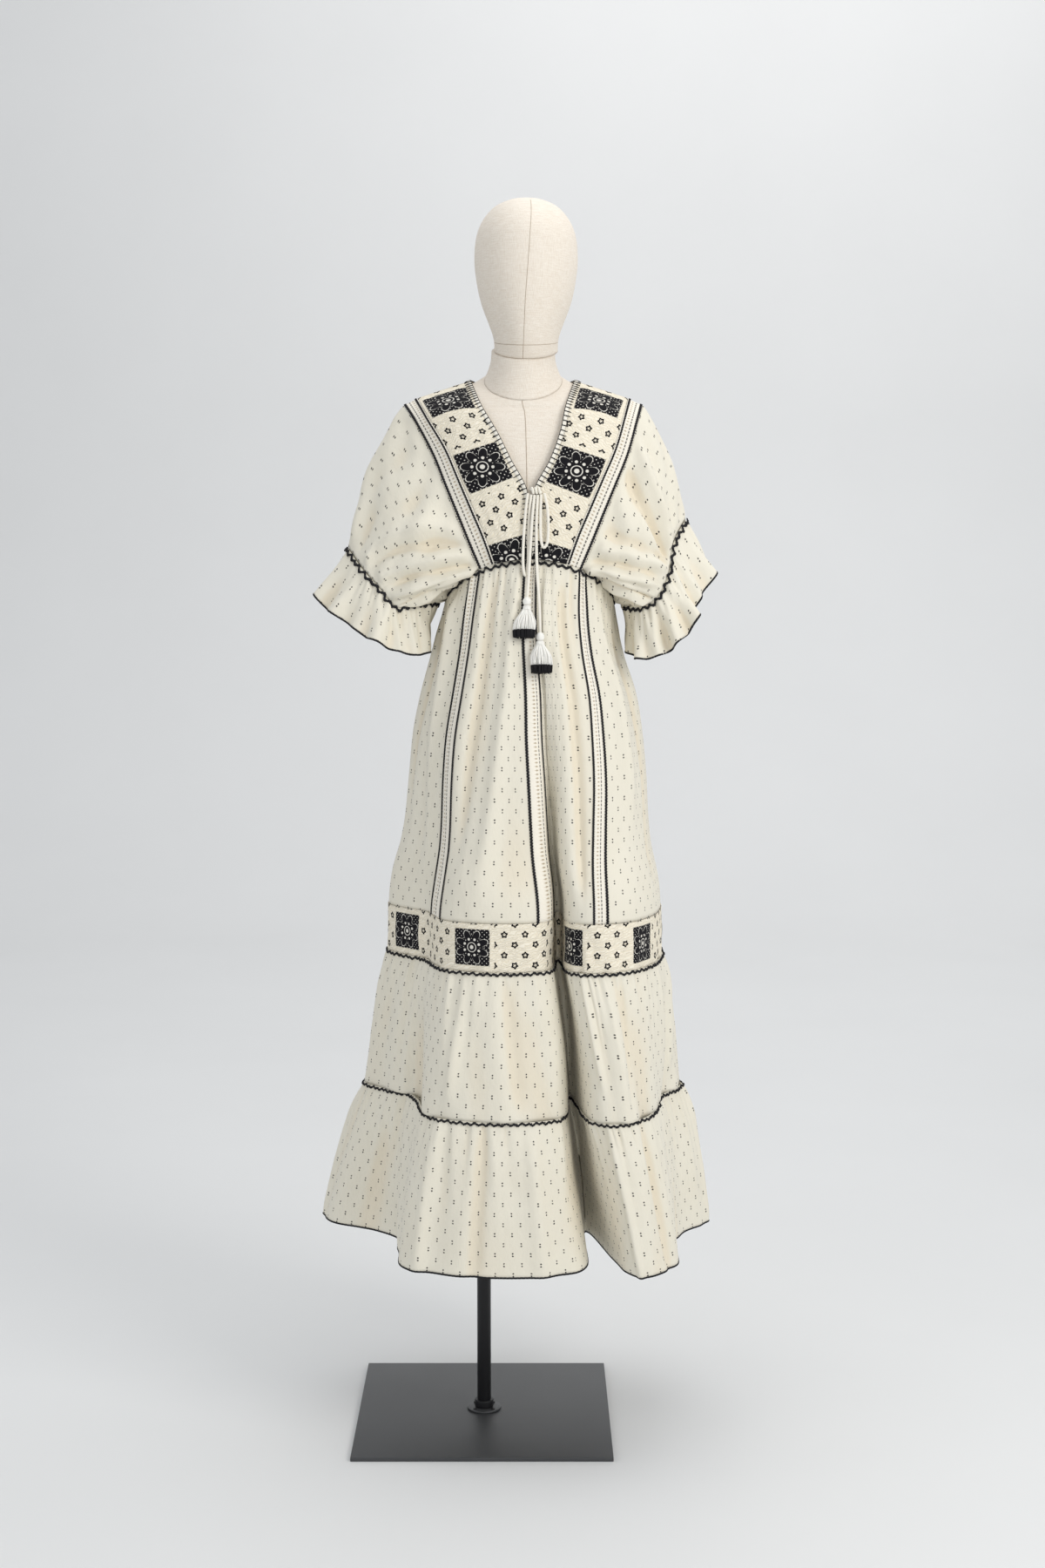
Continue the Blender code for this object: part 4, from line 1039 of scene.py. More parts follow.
class Tier(Surface):
    """A ring of cloth between two plans: an angle across, 0 to 1 down."""

    steps = (0.35, 0.02)

    def __init__(self, above: Spline, below: Spline, top: float, foot: float, puff: float,
                 gathers: Gathers | None = None, even: Unevenness | None = None,
                 creases: tuple[Crease, ...] = (), sway: float = 0.0042) -> None:
        """Keeps the ring's plans, heights and creases."""
        self.above, self.below, self.top, self.foot, self.puff = above, below, top, foot, puff
        self.gathers, self.even, self.creases, self.sway = gathers, even, creases, sway

    def form(self, a: Array, v: Array) -> Array:
        """The smooth surface's points."""
        share = np.clip(v, -0.1, 1.1)[..., None]
        plan = self.above.at(a) * (1 - share) + self.below.at(a) * share
        puff = self.puff * np.interp(v, (0.0, 0.1, 0.25, 0.6, 1.0), (0.0, 0.6, 1.0, 0.9, 0.0))
        plan = plan + unit(plan) * puff[..., None]
        z = self.top + (self.foot - self.top) * v
        return np.stack([AXIS_X + plan[..., 0], plan[..., 1], z], -1)

    def relief(self, a: Array, v: Array) -> Array:
        """Height of the creases."""
        share = np.mod(a, 360.0) / 360.0
        height = np.zeros(np.broadcast(a, v).shape)
        if self.gathers:
            height = height + self.gathers.at(share, v / self.gathers.reach) * eased(v / 0.05 + 0.2)
        if self.even:
            height = height + self.even.at(share, v) * self.sway * eased(v * 2.0)
        for crease in self.creases:
            height = height + crease.at(a, v, 360.0)
        return height


@dataclass
class Skirt:
    """The upper skirt with its lace strips, the embroidered band, two tiers, their braids and the hem."""

    wardrobe: Wardrobe
    folds: Folds = field(default_factory=Folds)
    band_top: float = 0.825
    band_foot: float = 0.752
    tier_seam: float = 0.530
    hem: float = 0.296
    lace: dict[str, tuple[float, float]] = field(default_factory=lambda: {
        "right": (-44.0, -37.0), "centre": (-3.5, 4.0), "left": (35.0, 42.0)})
    motif_angles: tuple[float, ...] = (-23.0, 17.5, 58.0, 92.0, 124.0, 158.0, 196.0, 232.0, 264.0, 298.5)

    def __post_init__(self) -> None:
        """Makes the creased surfaces."""
        f = self.folds
        self.upper = UpperSkirt(f)
        self.band = Tier(f.band, f.band, self.band_top, self.band_foot, 0.0,
                         even=Unevenness(seed=11, low=20, high=48, down=1.0), sway=0.0014)
        self.middle = Tier(
            f.band, f.tier, self.band_foot, self.tier_seam, 0.006,
            gathers=Gathers(seed=21, count=150, height=0.0036, reach=0.36),
            even=Unevenness(seed=22, low=9, high=26, down=0.6),
            creases=(
                Crease((-24.0, 0.05), (-27.0, 0.8), 1.7, 0.0040), Crease((-12.0, 0.1), (-9.0, 0.9), 1.9, -0.0035),
                Crease((26.0, 0.05), (29.0, 0.7), 1.8, 0.0045), Crease((46.0, 0.1), (44.0, 0.9), 2.0, -0.0035),
                Crease((-50.0, 0.1), (-52.0, 0.9), 2.2, 0.0045), Crease((84.0, 0.1), (82.0, 0.8), 2.4, 0.0045),
                Crease((111.0, 0.1), (113.0, 0.9), 2.2, -0.0040), Crease((147.0, 0.1), (145.0, 0.8), 2.2, 0.0045),
                Crease((199.0, 0.1), (197.0, 0.9), 2.2, -0.0040), Crease((245.0, 0.1), (247.0, 0.8), 2.2, 0.0045)))
        self.lower = Tier(
            f.tier, f.hem, self.tier_seam, self.hem + 0.002, 0.006,
            gathers=Gathers(seed=31, count=170, height=0.0040, reach=0.36),
            even=Unevenness(seed=32, low=9, high=24, down=0.6),
            creases=(
                Crease((-30.0, 0.1), (-32.0, 1.0), 1.8, 0.0050), Crease((-17.0, 0.1), (-19.0, 1.0), 1.8, -0.0045),
                Crease((-7.0, 0.15), (-6.0, 1.0), 1.6, 0.0045), Crease((29.0, 0.1), (31.0, 1.0), 1.9, 0.0050),
                Crease((47.0, 0.1), (49.0, 1.0), 2.0, -0.0050), Crease((-47.0, 0.1), (-44.0, 1.0), 1.6, 0.0050),
                Crease((70.0, 0.1), (71.0, 1.0), 2.0, -0.0050), Crease((97.0, 0.1), (95.0, 1.0), 2.2, 0.0055),
                Crease((146.0, 0.1), (148.0, 1.0), 2.0, 0.0050), Crease((161.0, 0.1), (163.0, 1.0), 2.0, -0.0045),
                Crease((200.0, 0.1), (199.0, 1.0), 2.2, 0.0055), Crease((244.0, 0.1), (246.0, 1.0), 2.2, 0.0050),
                Crease((262.0, 0.1), (265.0, 1.0), 1.8, -0.0050), Crease((278.0, 0.1), (280.0, 1.0), 1.8, 0.0050)))

    def band_grid(self) -> Grid:
        """The band, with each point's place on the nearest black square."""
        angles = np.arange(0, 360, 0.6)
        down = np.linspace(0, 1, 20)
        grid = self.band.grid(angles, down, closed=True)
        u = grid.flat[0, :, 0]
        total = u[-1]
        centres = np.interp(np.mod(self.motif_angles, 360.0), np.append(angles, 360.0), u)
        off = (u[:, None] - centres[None, :] + total / 2) % total - total / 2
        nearest = off[np.arange(len(u)), np.argmin(np.abs(off), axis=1)]
        middle = grid.flat[:, 0, 1].mean() - 0.001
        off_row = grid.flat[:, :1, 1] - middle + (np.abs(nearest) > MOTIF_REACH)[None, :]
        grid.motif = np.stack(np.broadcast_arrays(nearest[None, :], off_row), 2)
        return grid

    def build(self) -> None:
        """Builds and dresses every piece of the skirt."""
        dress, sheet, levels = self.wardrobe.dress, self.wardrobe.sheet, np.linspace(0, 8, 76)
        right, centre, left = (self.lace[k] for k in ("right", "centre", "left"))
        gap = 0.15
        trims = self.build_trims()
        spans = {
            "skirt_front_right": (right[1] + gap, centre[0] - gap), "skirt_front_left": (centre[1] + gap, left[0] - gap),
            "skirt_back": (left[1] + gap, 360.0 + right[0] - gap),
        }
        for name, (start, end) in spans.items():
            angles = np.linspace(start, end, int((end - start) / 0.75))
            grid = self.upper.grid(angles, levels)
            obj = dress(grid.object(name), "dotted_cotton", "cotton", name)
            on_it = (trims["waist_braid"],) if name == "skirt_back" else ()
            sheet(obj, cut_of(grid, 1.25), "gathered", "waist_braid", on_it)
        for place, (start, end) in self.lace.items():
            name = f"skirt_lace_{place}"
            grid = self.upper.grid(np.linspace(start + gap, end - gap, 9), levels, lift=0.0003)
            cut = cut_of(grid)
            grid.flat = grid.flat * np.array((0.0172 / grid.flat[0, -1, 0], 1.0))
            obj = dress(grid.object(name), "lace_thread", "lace", name)
            on_it = tuple(trims[f"skirt_braid_{place}_{edge}"] for edge in ("inner", "outer"))
            sheet(obj, cut, "hung", "waist_braid", on_it)
        rings = (
            ("embroidered_band", self.band_grid(), "embroidered_band", "embroidered", 1.0, ()),
            ("middle_tier", self.middle.grid(np.arange(0, 360, 0.62), np.linspace(0, 1, 40), closed=True),
             "dotted_cotton", "cotton", 1.25, ("band_braid",)),
            ("lower_tier", self.lower.grid(np.arange(0, 360, 0.58), np.linspace(0, 1, 44), closed=True),
             "dotted_cotton", "cotton", 1.25, ("tier_braid", "hem_edge")),
        )
        for name, grid, finish, slot, fullness, on_it in rings:
            obj = dress(grid.object(name), finish, slot, name)
            held = "gathered" if fullness > 1 else "hung"
            sheet(obj, cut_of(grid, fullness), held, "waist_braid", tuple(trims[k] for k in on_it))

    def build_trims(self) -> dict[str, bpy.types.Object]:
        """Lays the black braids on the seams and the fine edge on the hem.

        Returns:
            The pieces by their nodes' names.
        """
        dress, made = self.wardrobe.dress, {}
        crochet = {"inner": Trim(width=0.0038, thickness=0.0020, pitch=0.0036, picot=0.40),
                   "outer": Trim(width=0.0050, thickness=0.0022, pitch=0.0044, picot=0.50)}
        for place, pair in self.lace.items():
            edges = ("inner", "outer") if place == "left" else ("outer", "inner")
            for edge, angle in zip(edges, pair):
                name = f"skirt_braid_{place}_{edge}"
                path, ups = self.upper.line(np.full(160, angle), np.linspace(0.05, 8, 160), 0.0014)
                made[name] = dress(crochet[edge].object(name, path, ups, False), "black_braid", "braid", name)
        angles = np.arange(0, 360, 0.4)
        ruched = Trim(width=0.0050, thickness=0.0034, pitch=0.0034, picot=0.3, wobble=0.0019, wave=0.0150)
        finer = Trim(width=0.0042, thickness=0.0032, pitch=0.0034, picot=0.3, wobble=0.0013, wave=0.0110)
        edge = Trim(width=0.0036, thickness=0.0030, pitch=0.0060, picot=0.1)
        rings = (("waist_braid", self.upper, 0.07, 0.0022, ruched), ("band_braid", self.middle, 0.012, 0.0022, finer),
                 ("tier_braid", self.lower, 0.012, 0.0022, finer), ("hem_edge", self.lower, 1.0, 0.0, edge))
        for name, surface, place, lift, braid in rings:
            path, ups = surface.line(angles, np.full_like(angles, place), lift)
            made[name] = dress(braid.object(name, path, ups, True), "black_braid", "braid", name)
        return made


# Bodice
class Bodice:
    """The seams that the yokes, the lace and the sleeves share."""

    # neck, inner and outer x, y, z, from the shoulder to just above the waist
    front = (
        (0.0800, 0.004, 1.6360, 0.1620, 0.000, 1.6090, 0.1840, -0.001, 1.5980),
        (0.0640, -0.070, 1.5940, 0.1470, -0.050, 1.5760, 0.1690, -0.036, 1.5680),
        (0.0475, -0.090, 1.5530, 0.1260, -0.072, 1.5300, 0.1494, -0.056, 1.5200),
        (0.0290, -0.105, 1.5100, 0.1050, -0.092, 1.4820, 0.1290, -0.078, 1.4700),
        (0.0058, -0.114, 1.4660, 0.0847, -0.101, 1.4350, 0.1084, -0.090, 1.4200),
        (0.0022, -0.118, 1.4200, 0.0686, -0.107, 1.3980, 0.0930, -0.096, 1.3820),
    )
    back = (
        (0.0800, 0.004, 1.6360, 0.1620, 0.000, 1.6090, 0.1840, -0.001, 1.5980),
        (0.0570, 0.074, 1.6330, 0.1500, 0.054, 1.5860, 0.1720, 0.040, 1.5750),
        (0.0000, 0.094, 1.6180, 0.1330, 0.078, 1.5500, 0.1560, 0.060, 1.5400),
        (0.0000, 0.110, 1.5500, 0.1120, 0.090, 1.5000, 0.1360, 0.077, 1.4900),
        (0.0000, 0.113, 1.4800, 0.0950, 0.093, 1.4500, 0.1180, 0.086, 1.4400),
        (0.0000, 0.106, 1.4100, 0.0750, 0.094, 1.4000, 0.0980, 0.085, 1.3850),
    )
    lean, lean_top, lean_run = 0.012, 1.615, 0.09
    angles = {Face.FRONT: (0.0, 25.0, 37.8), Face.BACK: (180.0, 154.0, 142.0)}
    rows = 6.0
    neck_rows = {Face.FRONT: 6.0, Face.BACK: 2.0}

    def __init__(self, skirt: UpperSkirt) -> None:
        """Makes the seams' curves down to the waist."""
        self.skirt = skirt
        self.curves: dict[tuple[Side, Face], Spline] = {}
        for side in Side:
            for face in Face:
                self.curves[side, face] = self.curve(side, face)

    def curve(self, side: Side, face: Face) -> Spline:
        """The neck, inner and outer seams of one quarter."""
        table = np.asarray(self.front if face is Face.FRONT else self.back, float).reshape(-1, 3, 3)
        shift = self.lean * eased((self.lean_top - table[..., 2]) / self.lean_run)
        x = AXIS_X + side.value * table[..., 0] + shift
        points = np.stack([x, table[..., 1], table[..., 2]], -1)
        waist = self.skirt.waist(np.asarray(self.angles[face]) * side.value)
        if face is Face.FRONT:
            waist[0, 0] += side.value * self.front[-1][0]
        points = np.concatenate([points, waist[None]])
        return Spline(np.arange(len(points)), points)

    def seams(self, side: Side, face: Face, r: Array) -> tuple[Array, Array, Array]:
        """Neck, inner and outer points at fractional rows."""
        found = self.curves[side, face].at(r)
        return found[..., 0, :], found[..., 1, :], found[..., 2, :]

    def neck_way(self, side: Side, face: Face, r: Array) -> Array:
        """Unit vectors across the neck binding, from the free edge into the cloth."""
        before = self.seams(side, face, np.maximum(r - 0.05, 0))[0]
        after = self.seams(side, face, np.minimum(r + 0.05, self.rows))[0]
        along = unit(after - before)
        neck, inner, _ = self.seams(side, face, r)
        way = inner - neck
        return unit(way - along * (way * along).sum(-1, keepdims=True))


class Yoke(Surface):
    """One half of a yoke: 0 to 1 from the neck to the lace, 0 to 6 from the shoulder down."""

    steps = (0.03, 0.05)
    binding = 0.0058
    bulge = 0.005
    shoulder_rows = 1.6

    def __init__(self, bodice: Bodice, side: Side, face: Face) -> None:
        """Keeps the quarter that the yoke fills."""
        self.bodice, self.side, self.face = bodice, side, face
        self.outward = float(-side.value * face.value)
        self.even = Unevenness(seed=41, low=4, high=11, down=7.0)

    def form(self, a: Array, v: Array) -> Array:
        """The smooth surface's points."""
        bodice, side, face = self.bodice, self.side, self.face
        r = np.clip(v, 0, bodice.rows)
        neck, inner, _ = bodice.seams(side, face, r)
        if face is Face.FRONT:
            bound = np.ones_like(r)
        else:
            bound = eased((2.4 - r) / 0.4)
        neck = neck + bodice.neck_way(side, face, r) * (self.binding * bound)[..., None]
        inner = inner + unit(neck - inner) * 0.0002
        t = a[..., None]
        points = neck + (inner - neck) * t
        middle, edge, _ = bodice.angles[face]
        waist = bodice.skirt.waist(side.value * (middle + (edge - middle) * np.clip(a, 0, 1)), 0.0008)
        last = eased((r - 5.0))[..., None]
        points = points * (1 - last) + waist * last
        ease = 4 * a * (1 - a) * self.bulge * np.minimum(r, 1.0)
        over = eased((self.shoulder_rows - r) / 0.6)
        way_y = face.value * (1 - 0.3 * over)
        points = points + np.stack([np.zeros_like(ease), ease * way_y, ease * 1.2 * over], -1)
        return points + (v - r)[..., None] * np.array((0, 0, -0.04))

    def relief(self, a: Array, v: Array) -> Array:
        """Height of the crinkles."""
        fade = eased(a / 0.06) * eased((1 - a) / 0.06) * eased((6 - v) / 0.3)
        return 0.0003 + (self.even.at(a * 0.5, v / 6) + 1.0) * 0.0004 * fade


class LaceStrip(Surface):
    """A yoke's lace: 0 to 1 from the inner to the outer seam, -6 at the back waist to 6 at the front."""

    steps = (0.05, 0.05)

    def __init__(self, bodice: Bodice, side: Side) -> None:
        """Keeps the side that the lace lies on."""
        self.bodice, self.side = bodice, side
        self.outward = float(side.value)

    def form(self, a: Array, v: Array) -> Array:
        """The smooth surface's points."""
        r = np.clip(np.abs(v), 0, 6)
        _, inner, outer = self.bodice.seams(self.side, Face.FRONT, r)
        _, inner_b, outer_b = self.bodice.seams(self.side, Face.BACK, r)
        back = (v < 0)[..., None]
        inner, outer = np.where(back, inner_b, inner), np.where(back, outer_b, outer)
        beyond = np.abs(v) - r
        return inner + (outer - inner) * a[..., None] + beyond[..., None] * np.array((0, 0, -0.04))


class Sleeve(Surface):
    """A kimono sleeve: 0 to 32 round it from the top, by the front; 0 to 1 from the bodice to the cuff."""

    steps = (0.15, 0.02)
    around = 32.0
    quarter, down_seam = 16.0, 11.0
    rise, spread, swell = 0.0026, 0.35, 0.014
    # cuff x, y, z, ruffle hem x, y, z, from the top of the cuff by the front, the underarm and the back
    cuffs = {
        Side.RIGHT: (
            (-0.2696, 0.004, 1.3820, -0.3147, 0.002, 1.3121), (-0.2440, -0.052, 1.3490, -0.2950, -0.052, 1.2810),
            (-0.2180, -0.074, 1.3210, -0.2400, -0.092, 1.2480), (-0.1930, -0.080, 1.2915, -0.1900, -0.100, 1.2240),
            (-0.1640, -0.058, 1.2950, -0.1560, -0.076, 1.2180), (-0.1310, -0.010, 1.2975, -0.1500, -0.012, 1.2265),
            (-0.1620, 0.046, 1.2960, -0.1640, 0.056, 1.2200), (-0.2000, 0.068, 1.3030, -0.2050, 0.086, 1.2300),
            (-0.2410, 0.052, 1.3420, -0.2750, 0.064, 1.2680)),
        Side.LEFT: (
            (0.2518, 0.004, 1.4235, 0.2942, 0.002, 1.3457), (0.2300, -0.042, 1.3880, 0.2790, -0.048, 1.3120),
            (0.2215, -0.070, 1.3420, 0.2620, -0.084, 1.2740), (0.2040, -0.082, 1.3050, 0.2260, -0.100, 1.2260),
            (0.1780, -0.062, 1.2890, 0.1760, -0.080, 1.2110), (0.1560, -0.010, 1.2930, 0.1660, -0.012, 1.2280),
            (0.1780, 0.046, 1.2940, 0.1800, 0.056, 1.2180), (0.2030, 0.068, 1.3130, 0.2180, 0.086, 1.2380),
            (0.2340, 0.050, 1.3660, 0.2720, 0.062, 1.2900)),
    }
    folds = {
        Side.RIGHT: (
            Crease((11.2, 0.02), (9.5, 0.9), 0.42, 0.0055), Crease((10.5, 0.05), (8.3, 0.8), 0.34, -0.0034),
            Crease((9.6, 0.05), (6.8, 0.95), 0.46, 0.0044), Crease((8.6, 0.10), (5.4, 0.8), 0.40, -0.0040),
            Crease((7.4, 0.10), (3.6, 1.0), 0.52, 0.0046), Crease((12.2, 0.0), (11.2, 0.9), 0.34, -0.0034),
            Crease((13.0, 0.0), (12.4, 0.9), 0.36, 0.0042), Crease((14.2, 0.0), (14.0, 0.9), 0.40, -0.0040),
            Crease((20.0, 0.0), (20.6, 0.9), 0.45, 0.0055), Crease((21.4, 0.05), (23.0, 0.9), 0.40, -0.0040),
            Crease((22.6, 0.05), (25.2, 0.95), 0.50, 0.0044), Crease((24.4, 0.1), (27.6, 1.0), 0.50, -0.0044)),
        Side.LEFT: (
            Crease((3.0, 0.15), (4.6, 1.05), 0.50, 0.0070), Crease((4.5, 0.15), (5.6, 1.0), 0.42, -0.0070),
            Crease((11.0, 0.02), (9.3, 0.9), 0.42, 0.0055), Crease((10.2, 0.05), (8.2, 0.85), 0.36, -0.0036),
            Crease((9.3, 0.05), (7.0, 0.95), 0.46, 0.0044), Crease((7.9, 0.10), (6.3, 0.9), 0.40, -0.0036),
            Crease((12.1, 0.0), (11.2, 0.9), 0.34, -0.0034), Crease((13.0, 0.0), (12.4, 0.9), 0.36, 0.0042),
            Crease((14.2, 0.0), (13.9, 0.9), 0.40, -0.0040), Crease((20.0, 0.0), (20.6, 0.9), 0.45, 0.0055),
            Crease((21.5, 0.05), (23.2, 0.9), 0.40, -0.0040), Crease((22.8, 0.05), (25.4, 0.95), 0.50, 0.0044),
            Crease((24.6, 0.1), (27.8, 1.0), 0.50, -0.0044)),
    }

    def __init__(self, bodice: Bodice, side: Side) -> None:
        """Makes the cuff's and the ruffle hem's curves."""
        self.bodice, self.side = bodice, side
        self.outward = -float(side.value)
        table = np.asarray(self.cuffs[side], float) + np.array((AXIS_X, 0, 0, AXIS_X, 0, 0))
        knots = np.arange(len(table)) * self.around / len(table)
        self.cuff = Spline(knots, table[:, :3], self.around)
        self.hem = Spline(knots, table[:, 3:], self.around)
        self.even = Unevenness(seed=51 + side.value, low=5, high=14, down=2.2)
        self.gathers = Gathers(seed=61 + side.value, count=44, height=0.0030, reach=0.35)

    def armhole(self, a: Array) -> tuple[Array, Array, Array]:
        """Points of the armhole, the way the cloth leaves it, and how far that way holds."""
        a = np.mod(a, self.around)
        back = a > self.quarter
        k = np.where(back, self.around - a, a)
        seam = np.clip(k / self.down_seam, 0, 1) * 6.0
        below = np.clip((k - self.down_seam) / (self.quarter - self.down_seam), 0, 1)
        points, ways = [], []
        for face in (Face.FRONT, Face.BACK):
            _, inner, outer = self.bodice.seams(self.side, face, seam)
            way = unit(outer - inner)
            edge = self.bodice.angles[face][2]
            waist = self.bodice.skirt.waist(self.side.value * (edge + (90.0 - edge) * below))
            on_seam = (k <= self.down_seam)[..., None]
            points.append(np.where(on_seam, outer + way * 0.0003, waist))
            ways.append(way)
        point = np.where(back[..., None], points[1], points[0])
        way = np.where(back[..., None], ways[1], ways[0])
        lift = eased((k - self.down_seam + 0.8) / 0.8) * self.rise
        point = point + lift[..., None] * np.array((0, 0, 1.0))
        return point, way, eased((self.down_seam + 0.6 - k) / 1.2)

    def form(self, a: Array, v: Array) -> Array:
        """The smooth surface's points."""
        start, way, hold = self.armhole(a)
        end = self.cuff.at(a)
        t = v[..., None]
        middle = (start + end) / 2
        reach = np.linalg.norm(end - start, axis=-1, keepdims=True) * 0.5
        middle = middle + (start + way * reach - middle) * (self.spread * hold)[..., None]
        points = start * (1 - t) ** 2 + middle * 2 * t * (1 - t) + end * t * t
        turn = 2 * math.pi * a / self.around
        bell = np.sin(math.pi * np.clip(v, 0, 1)) ** 2 * self.swell * np.abs(np.sin(turn))
        points[..., 1] += np.where(np.sin(turn) > 0, -bell, bell)
        return points

    def relief(self, a: Array, v: Array) -> Array:
        """Height of the creases."""
        share = np.mod(a, self.around) / self.around
        height = sum(c.at(a, v, self.around) for c in self.folds[self.side])
        height = height + self.even.at(share, v) * 0.0030
        height = height * eased(v / 0.12)
        height = height + self.gathers.at(share, (1 - v) / self.gathers.reach)
        return height * eased((1.0 - v) / 0.10)


class Ruffle(Surface):
    """A sleeve's ruffle: 0 to 32 round it, 0 to 1 from the cuff to its hem."""

    steps = (0.12, 0.02)
    waves, wave = 5, 0.006

    def __init__(self, sleeve: Sleeve) -> None:
        """Keeps the sleeve that the ruffle hangs from."""
        self.sleeve, self.outward = sleeve, sleeve.outward
        ring = np.arange(32.0)
        self.middle = sleeve.cuff.at(ring).mean(0)
        self.gathers = Gathers(seed=71 + sleeve.side.value, count=46, height=0.0042, reach=0.60)
        self.even = Unevenness(seed=81 + sleeve.side.value, low=6, high=15, down=0.4)

    def form(self, a: Array, v: Array) -> Array:
        """The smooth surface's points."""
        t = (v * 0.985)[..., None]
        points = self.sleeve.cuff.at(a) * (1 - t) + self.sleeve.hem.at(a) * t
        out = points - self.middle
        out[..., 2] = 0
        ripple = self.wave * np.sin(2 * math.pi * self.waves * a / 32) * v
        return points + unit(out) * ripple[..., None]

    def relief(self, a: Array, v: Array) -> Array:
        """Height of the creases."""
        share = np.mod(a, 32.0) / 32.0
        flare = self.even.at(share, v) * 0.0070 * eased(v)
        return self.gathers.at(share, v / self.gathers.reach) * eased(v / 0.10) + flare


@dataclass
class Top:
    """The yokes, the lace with its braids, the neck binding, the sleeves and their ruffles."""

    wardrobe: Wardrobe
    bodice: Bodice
    motif_middles: tuple[float, ...] = (0.047, 0.180, 0.329)
    back_cut: tuple[float, float] = (0.335, 0.300)

    def yoke_grid(self, side: Side) -> Grid:
        """A front yoke, with each point's place on the nearest black square."""
        yoke = Yoke(self.bodice, side, Face.FRONT)
        share = np.linspace(0, 1, 46)
        grid = yoke.grid(share, np.linspace(0.02, 6, 150))
        down = grid.flat[:, 0, 1]
        widths = np.linalg.norm(grid.points[:, -1] - grid.points[:, 0], axis=1)
        u = (1 - share)[None, :] * widths[:, None]
        grid.flat = np.stack(np.broadcast_arrays(u, down[:, None]), 2)
        x = (0.5 - share)[None, :] * widths[:, None]
        off = down[:, None] - np.array(self.motif_middles)[None, :]
        y = off[np.arange(len(down)), np.argmin(np.abs(off), axis=1)]
        x = x + (np.abs(y) > MOTIF_REACH)[:, None]
        grid.motif = np.stack(np.broadcast_arrays(x, y[:, None]), 2)
        return grid

    def build(self) -> None:
        """Builds and dresses every piece of the top."""
        binding = self.build_binding()
        for side in Side:
            self.build_yoke(side, binding if side is Side.RIGHT else ())
            self.build_lace(side)
            self.build_sleeve(side)
        self.build_back_yoke()

    def build_yoke(self, side: Side, on_it: tuple[bpy.types.Object, ...]) -> None:
        """A front yoke, with the pieces that are sewn on it."""
        name = f"front_yoke_{side.word}"
        grid = self.yoke_grid(side)
        obj = self.wardrobe.dress(grid.object(name), "embroidered_yoke", "embroidered", name)
        self.wardrobe.sheet(obj, cut_of(grid), "stretched", "form_torso", on_it)

    def build_back_yoke(self) -> None:
        """The back yoke, in one piece from side to side."""
        share, down = np.linspace(0, 1, 40), np.linspace(0.02, 6, 90)
        halves = {side: Yoke(self.bodice, side, Face.BACK).at(share[None, :], down[:, None]) for side in Side}
        right = halves[Side.RIGHT][:, ::-1]
        open_rows = down < self.bodice.neck_rows[Face.BACK]
        left = halves[Side.LEFT]
        seam = (right[:, -1] + left[:, 0]) / 2
        points = np.concatenate([right[:, :-1], np.stack([right[:, -1], left[:, 0]], 1), left[:, 1:]], 1)
        points[~open_rows, share.size - 1] = seam[~open_rows]
        points[~open_rows, share.size] = seam[~open_rows]
        u = np.concatenate([-share[::-1], share]) * 0.11
        v = np.linspace(0, 0.27, len(down))
        flat = np.stack(np.broadcast_arrays(u[None, :], v[:, None]), 2)
        name = "back_yoke"
        grid = Grid(points, flat, outward=-1.0)
        obj = grid.object(name, thickness=0)
        mesh = bmesh.new()
        mesh.from_mesh(obj.data)
        columns = share.size * 2
        first = int(open_rows.sum())
        mesh.verts.ensure_lookup_table()
        wide = [f for f in mesh.faces
                if {v_.index % columns for v_ in f.verts} == {share.size - 1, share.size}
                and min(v_.index // columns for v_ in f.verts) < first]
        bmesh.ops.delete(mesh, geom=wide, context="FACES_ONLY")
        bmesh.ops.remove_doubles(mesh, verts=mesh.verts, dist=0.00002)
        area = sum(face.calc_area() for face in mesh.faces)
        mesh.to_mesh(obj.data)
        mesh.free()
        wall = obj.modifiers.new("Cloth thickness", "SOLIDIFY")
        wall.thickness, wall.offset = CLOTH, 0.0
        apply_modifiers(obj)
        self.wardrobe.dress(obj, "dotted_cotton_flat", "cotton", name)
        self.wardrobe.sheet(obj, (*self.back_cut, area), "stretched", "form_torso")

    def build_lace(self, side: Side) -> None:
        """A yoke's lace strip with its two braids."""
        name = f"yoke_lace_{side.word}"
        lace = LaceStrip(self.bodice, side)
        rows = np.linspace(-6, 6, 220)
        grid = lace.grid(np.linspace(0.01, 0.99, 9), rows, lift=0.0003)
        cut = cut_of(grid)
        grid.flat = grid.flat * np.array((0.0172 / grid.flat[0, -1, 0], 1.0))
        obj = self.wardrobe.dress(grid.object(name), "lace_thread", "lace", name)
        on_it = []
        for edge, share, width in (("inner", 0.115, 0.0040), ("outer", 0.885, 0.0050)):
            name = f"yoke_braid_{side.word}_{edge}"
            path, ups = lace.line(np.full(300, share), np.linspace(-5.97, 5.97, 300), 0.0014)
            braid = Trim(width=width, thickness=0.0022, pitch=0.0042, picot=0.45).object(name, path, ups, False)
            on_it.append(self.wardrobe.dress(braid, "black_braid", "braid", name))
        self.wardrobe.sheet(obj, cut, "stretched", "form_torso", tuple(on_it))

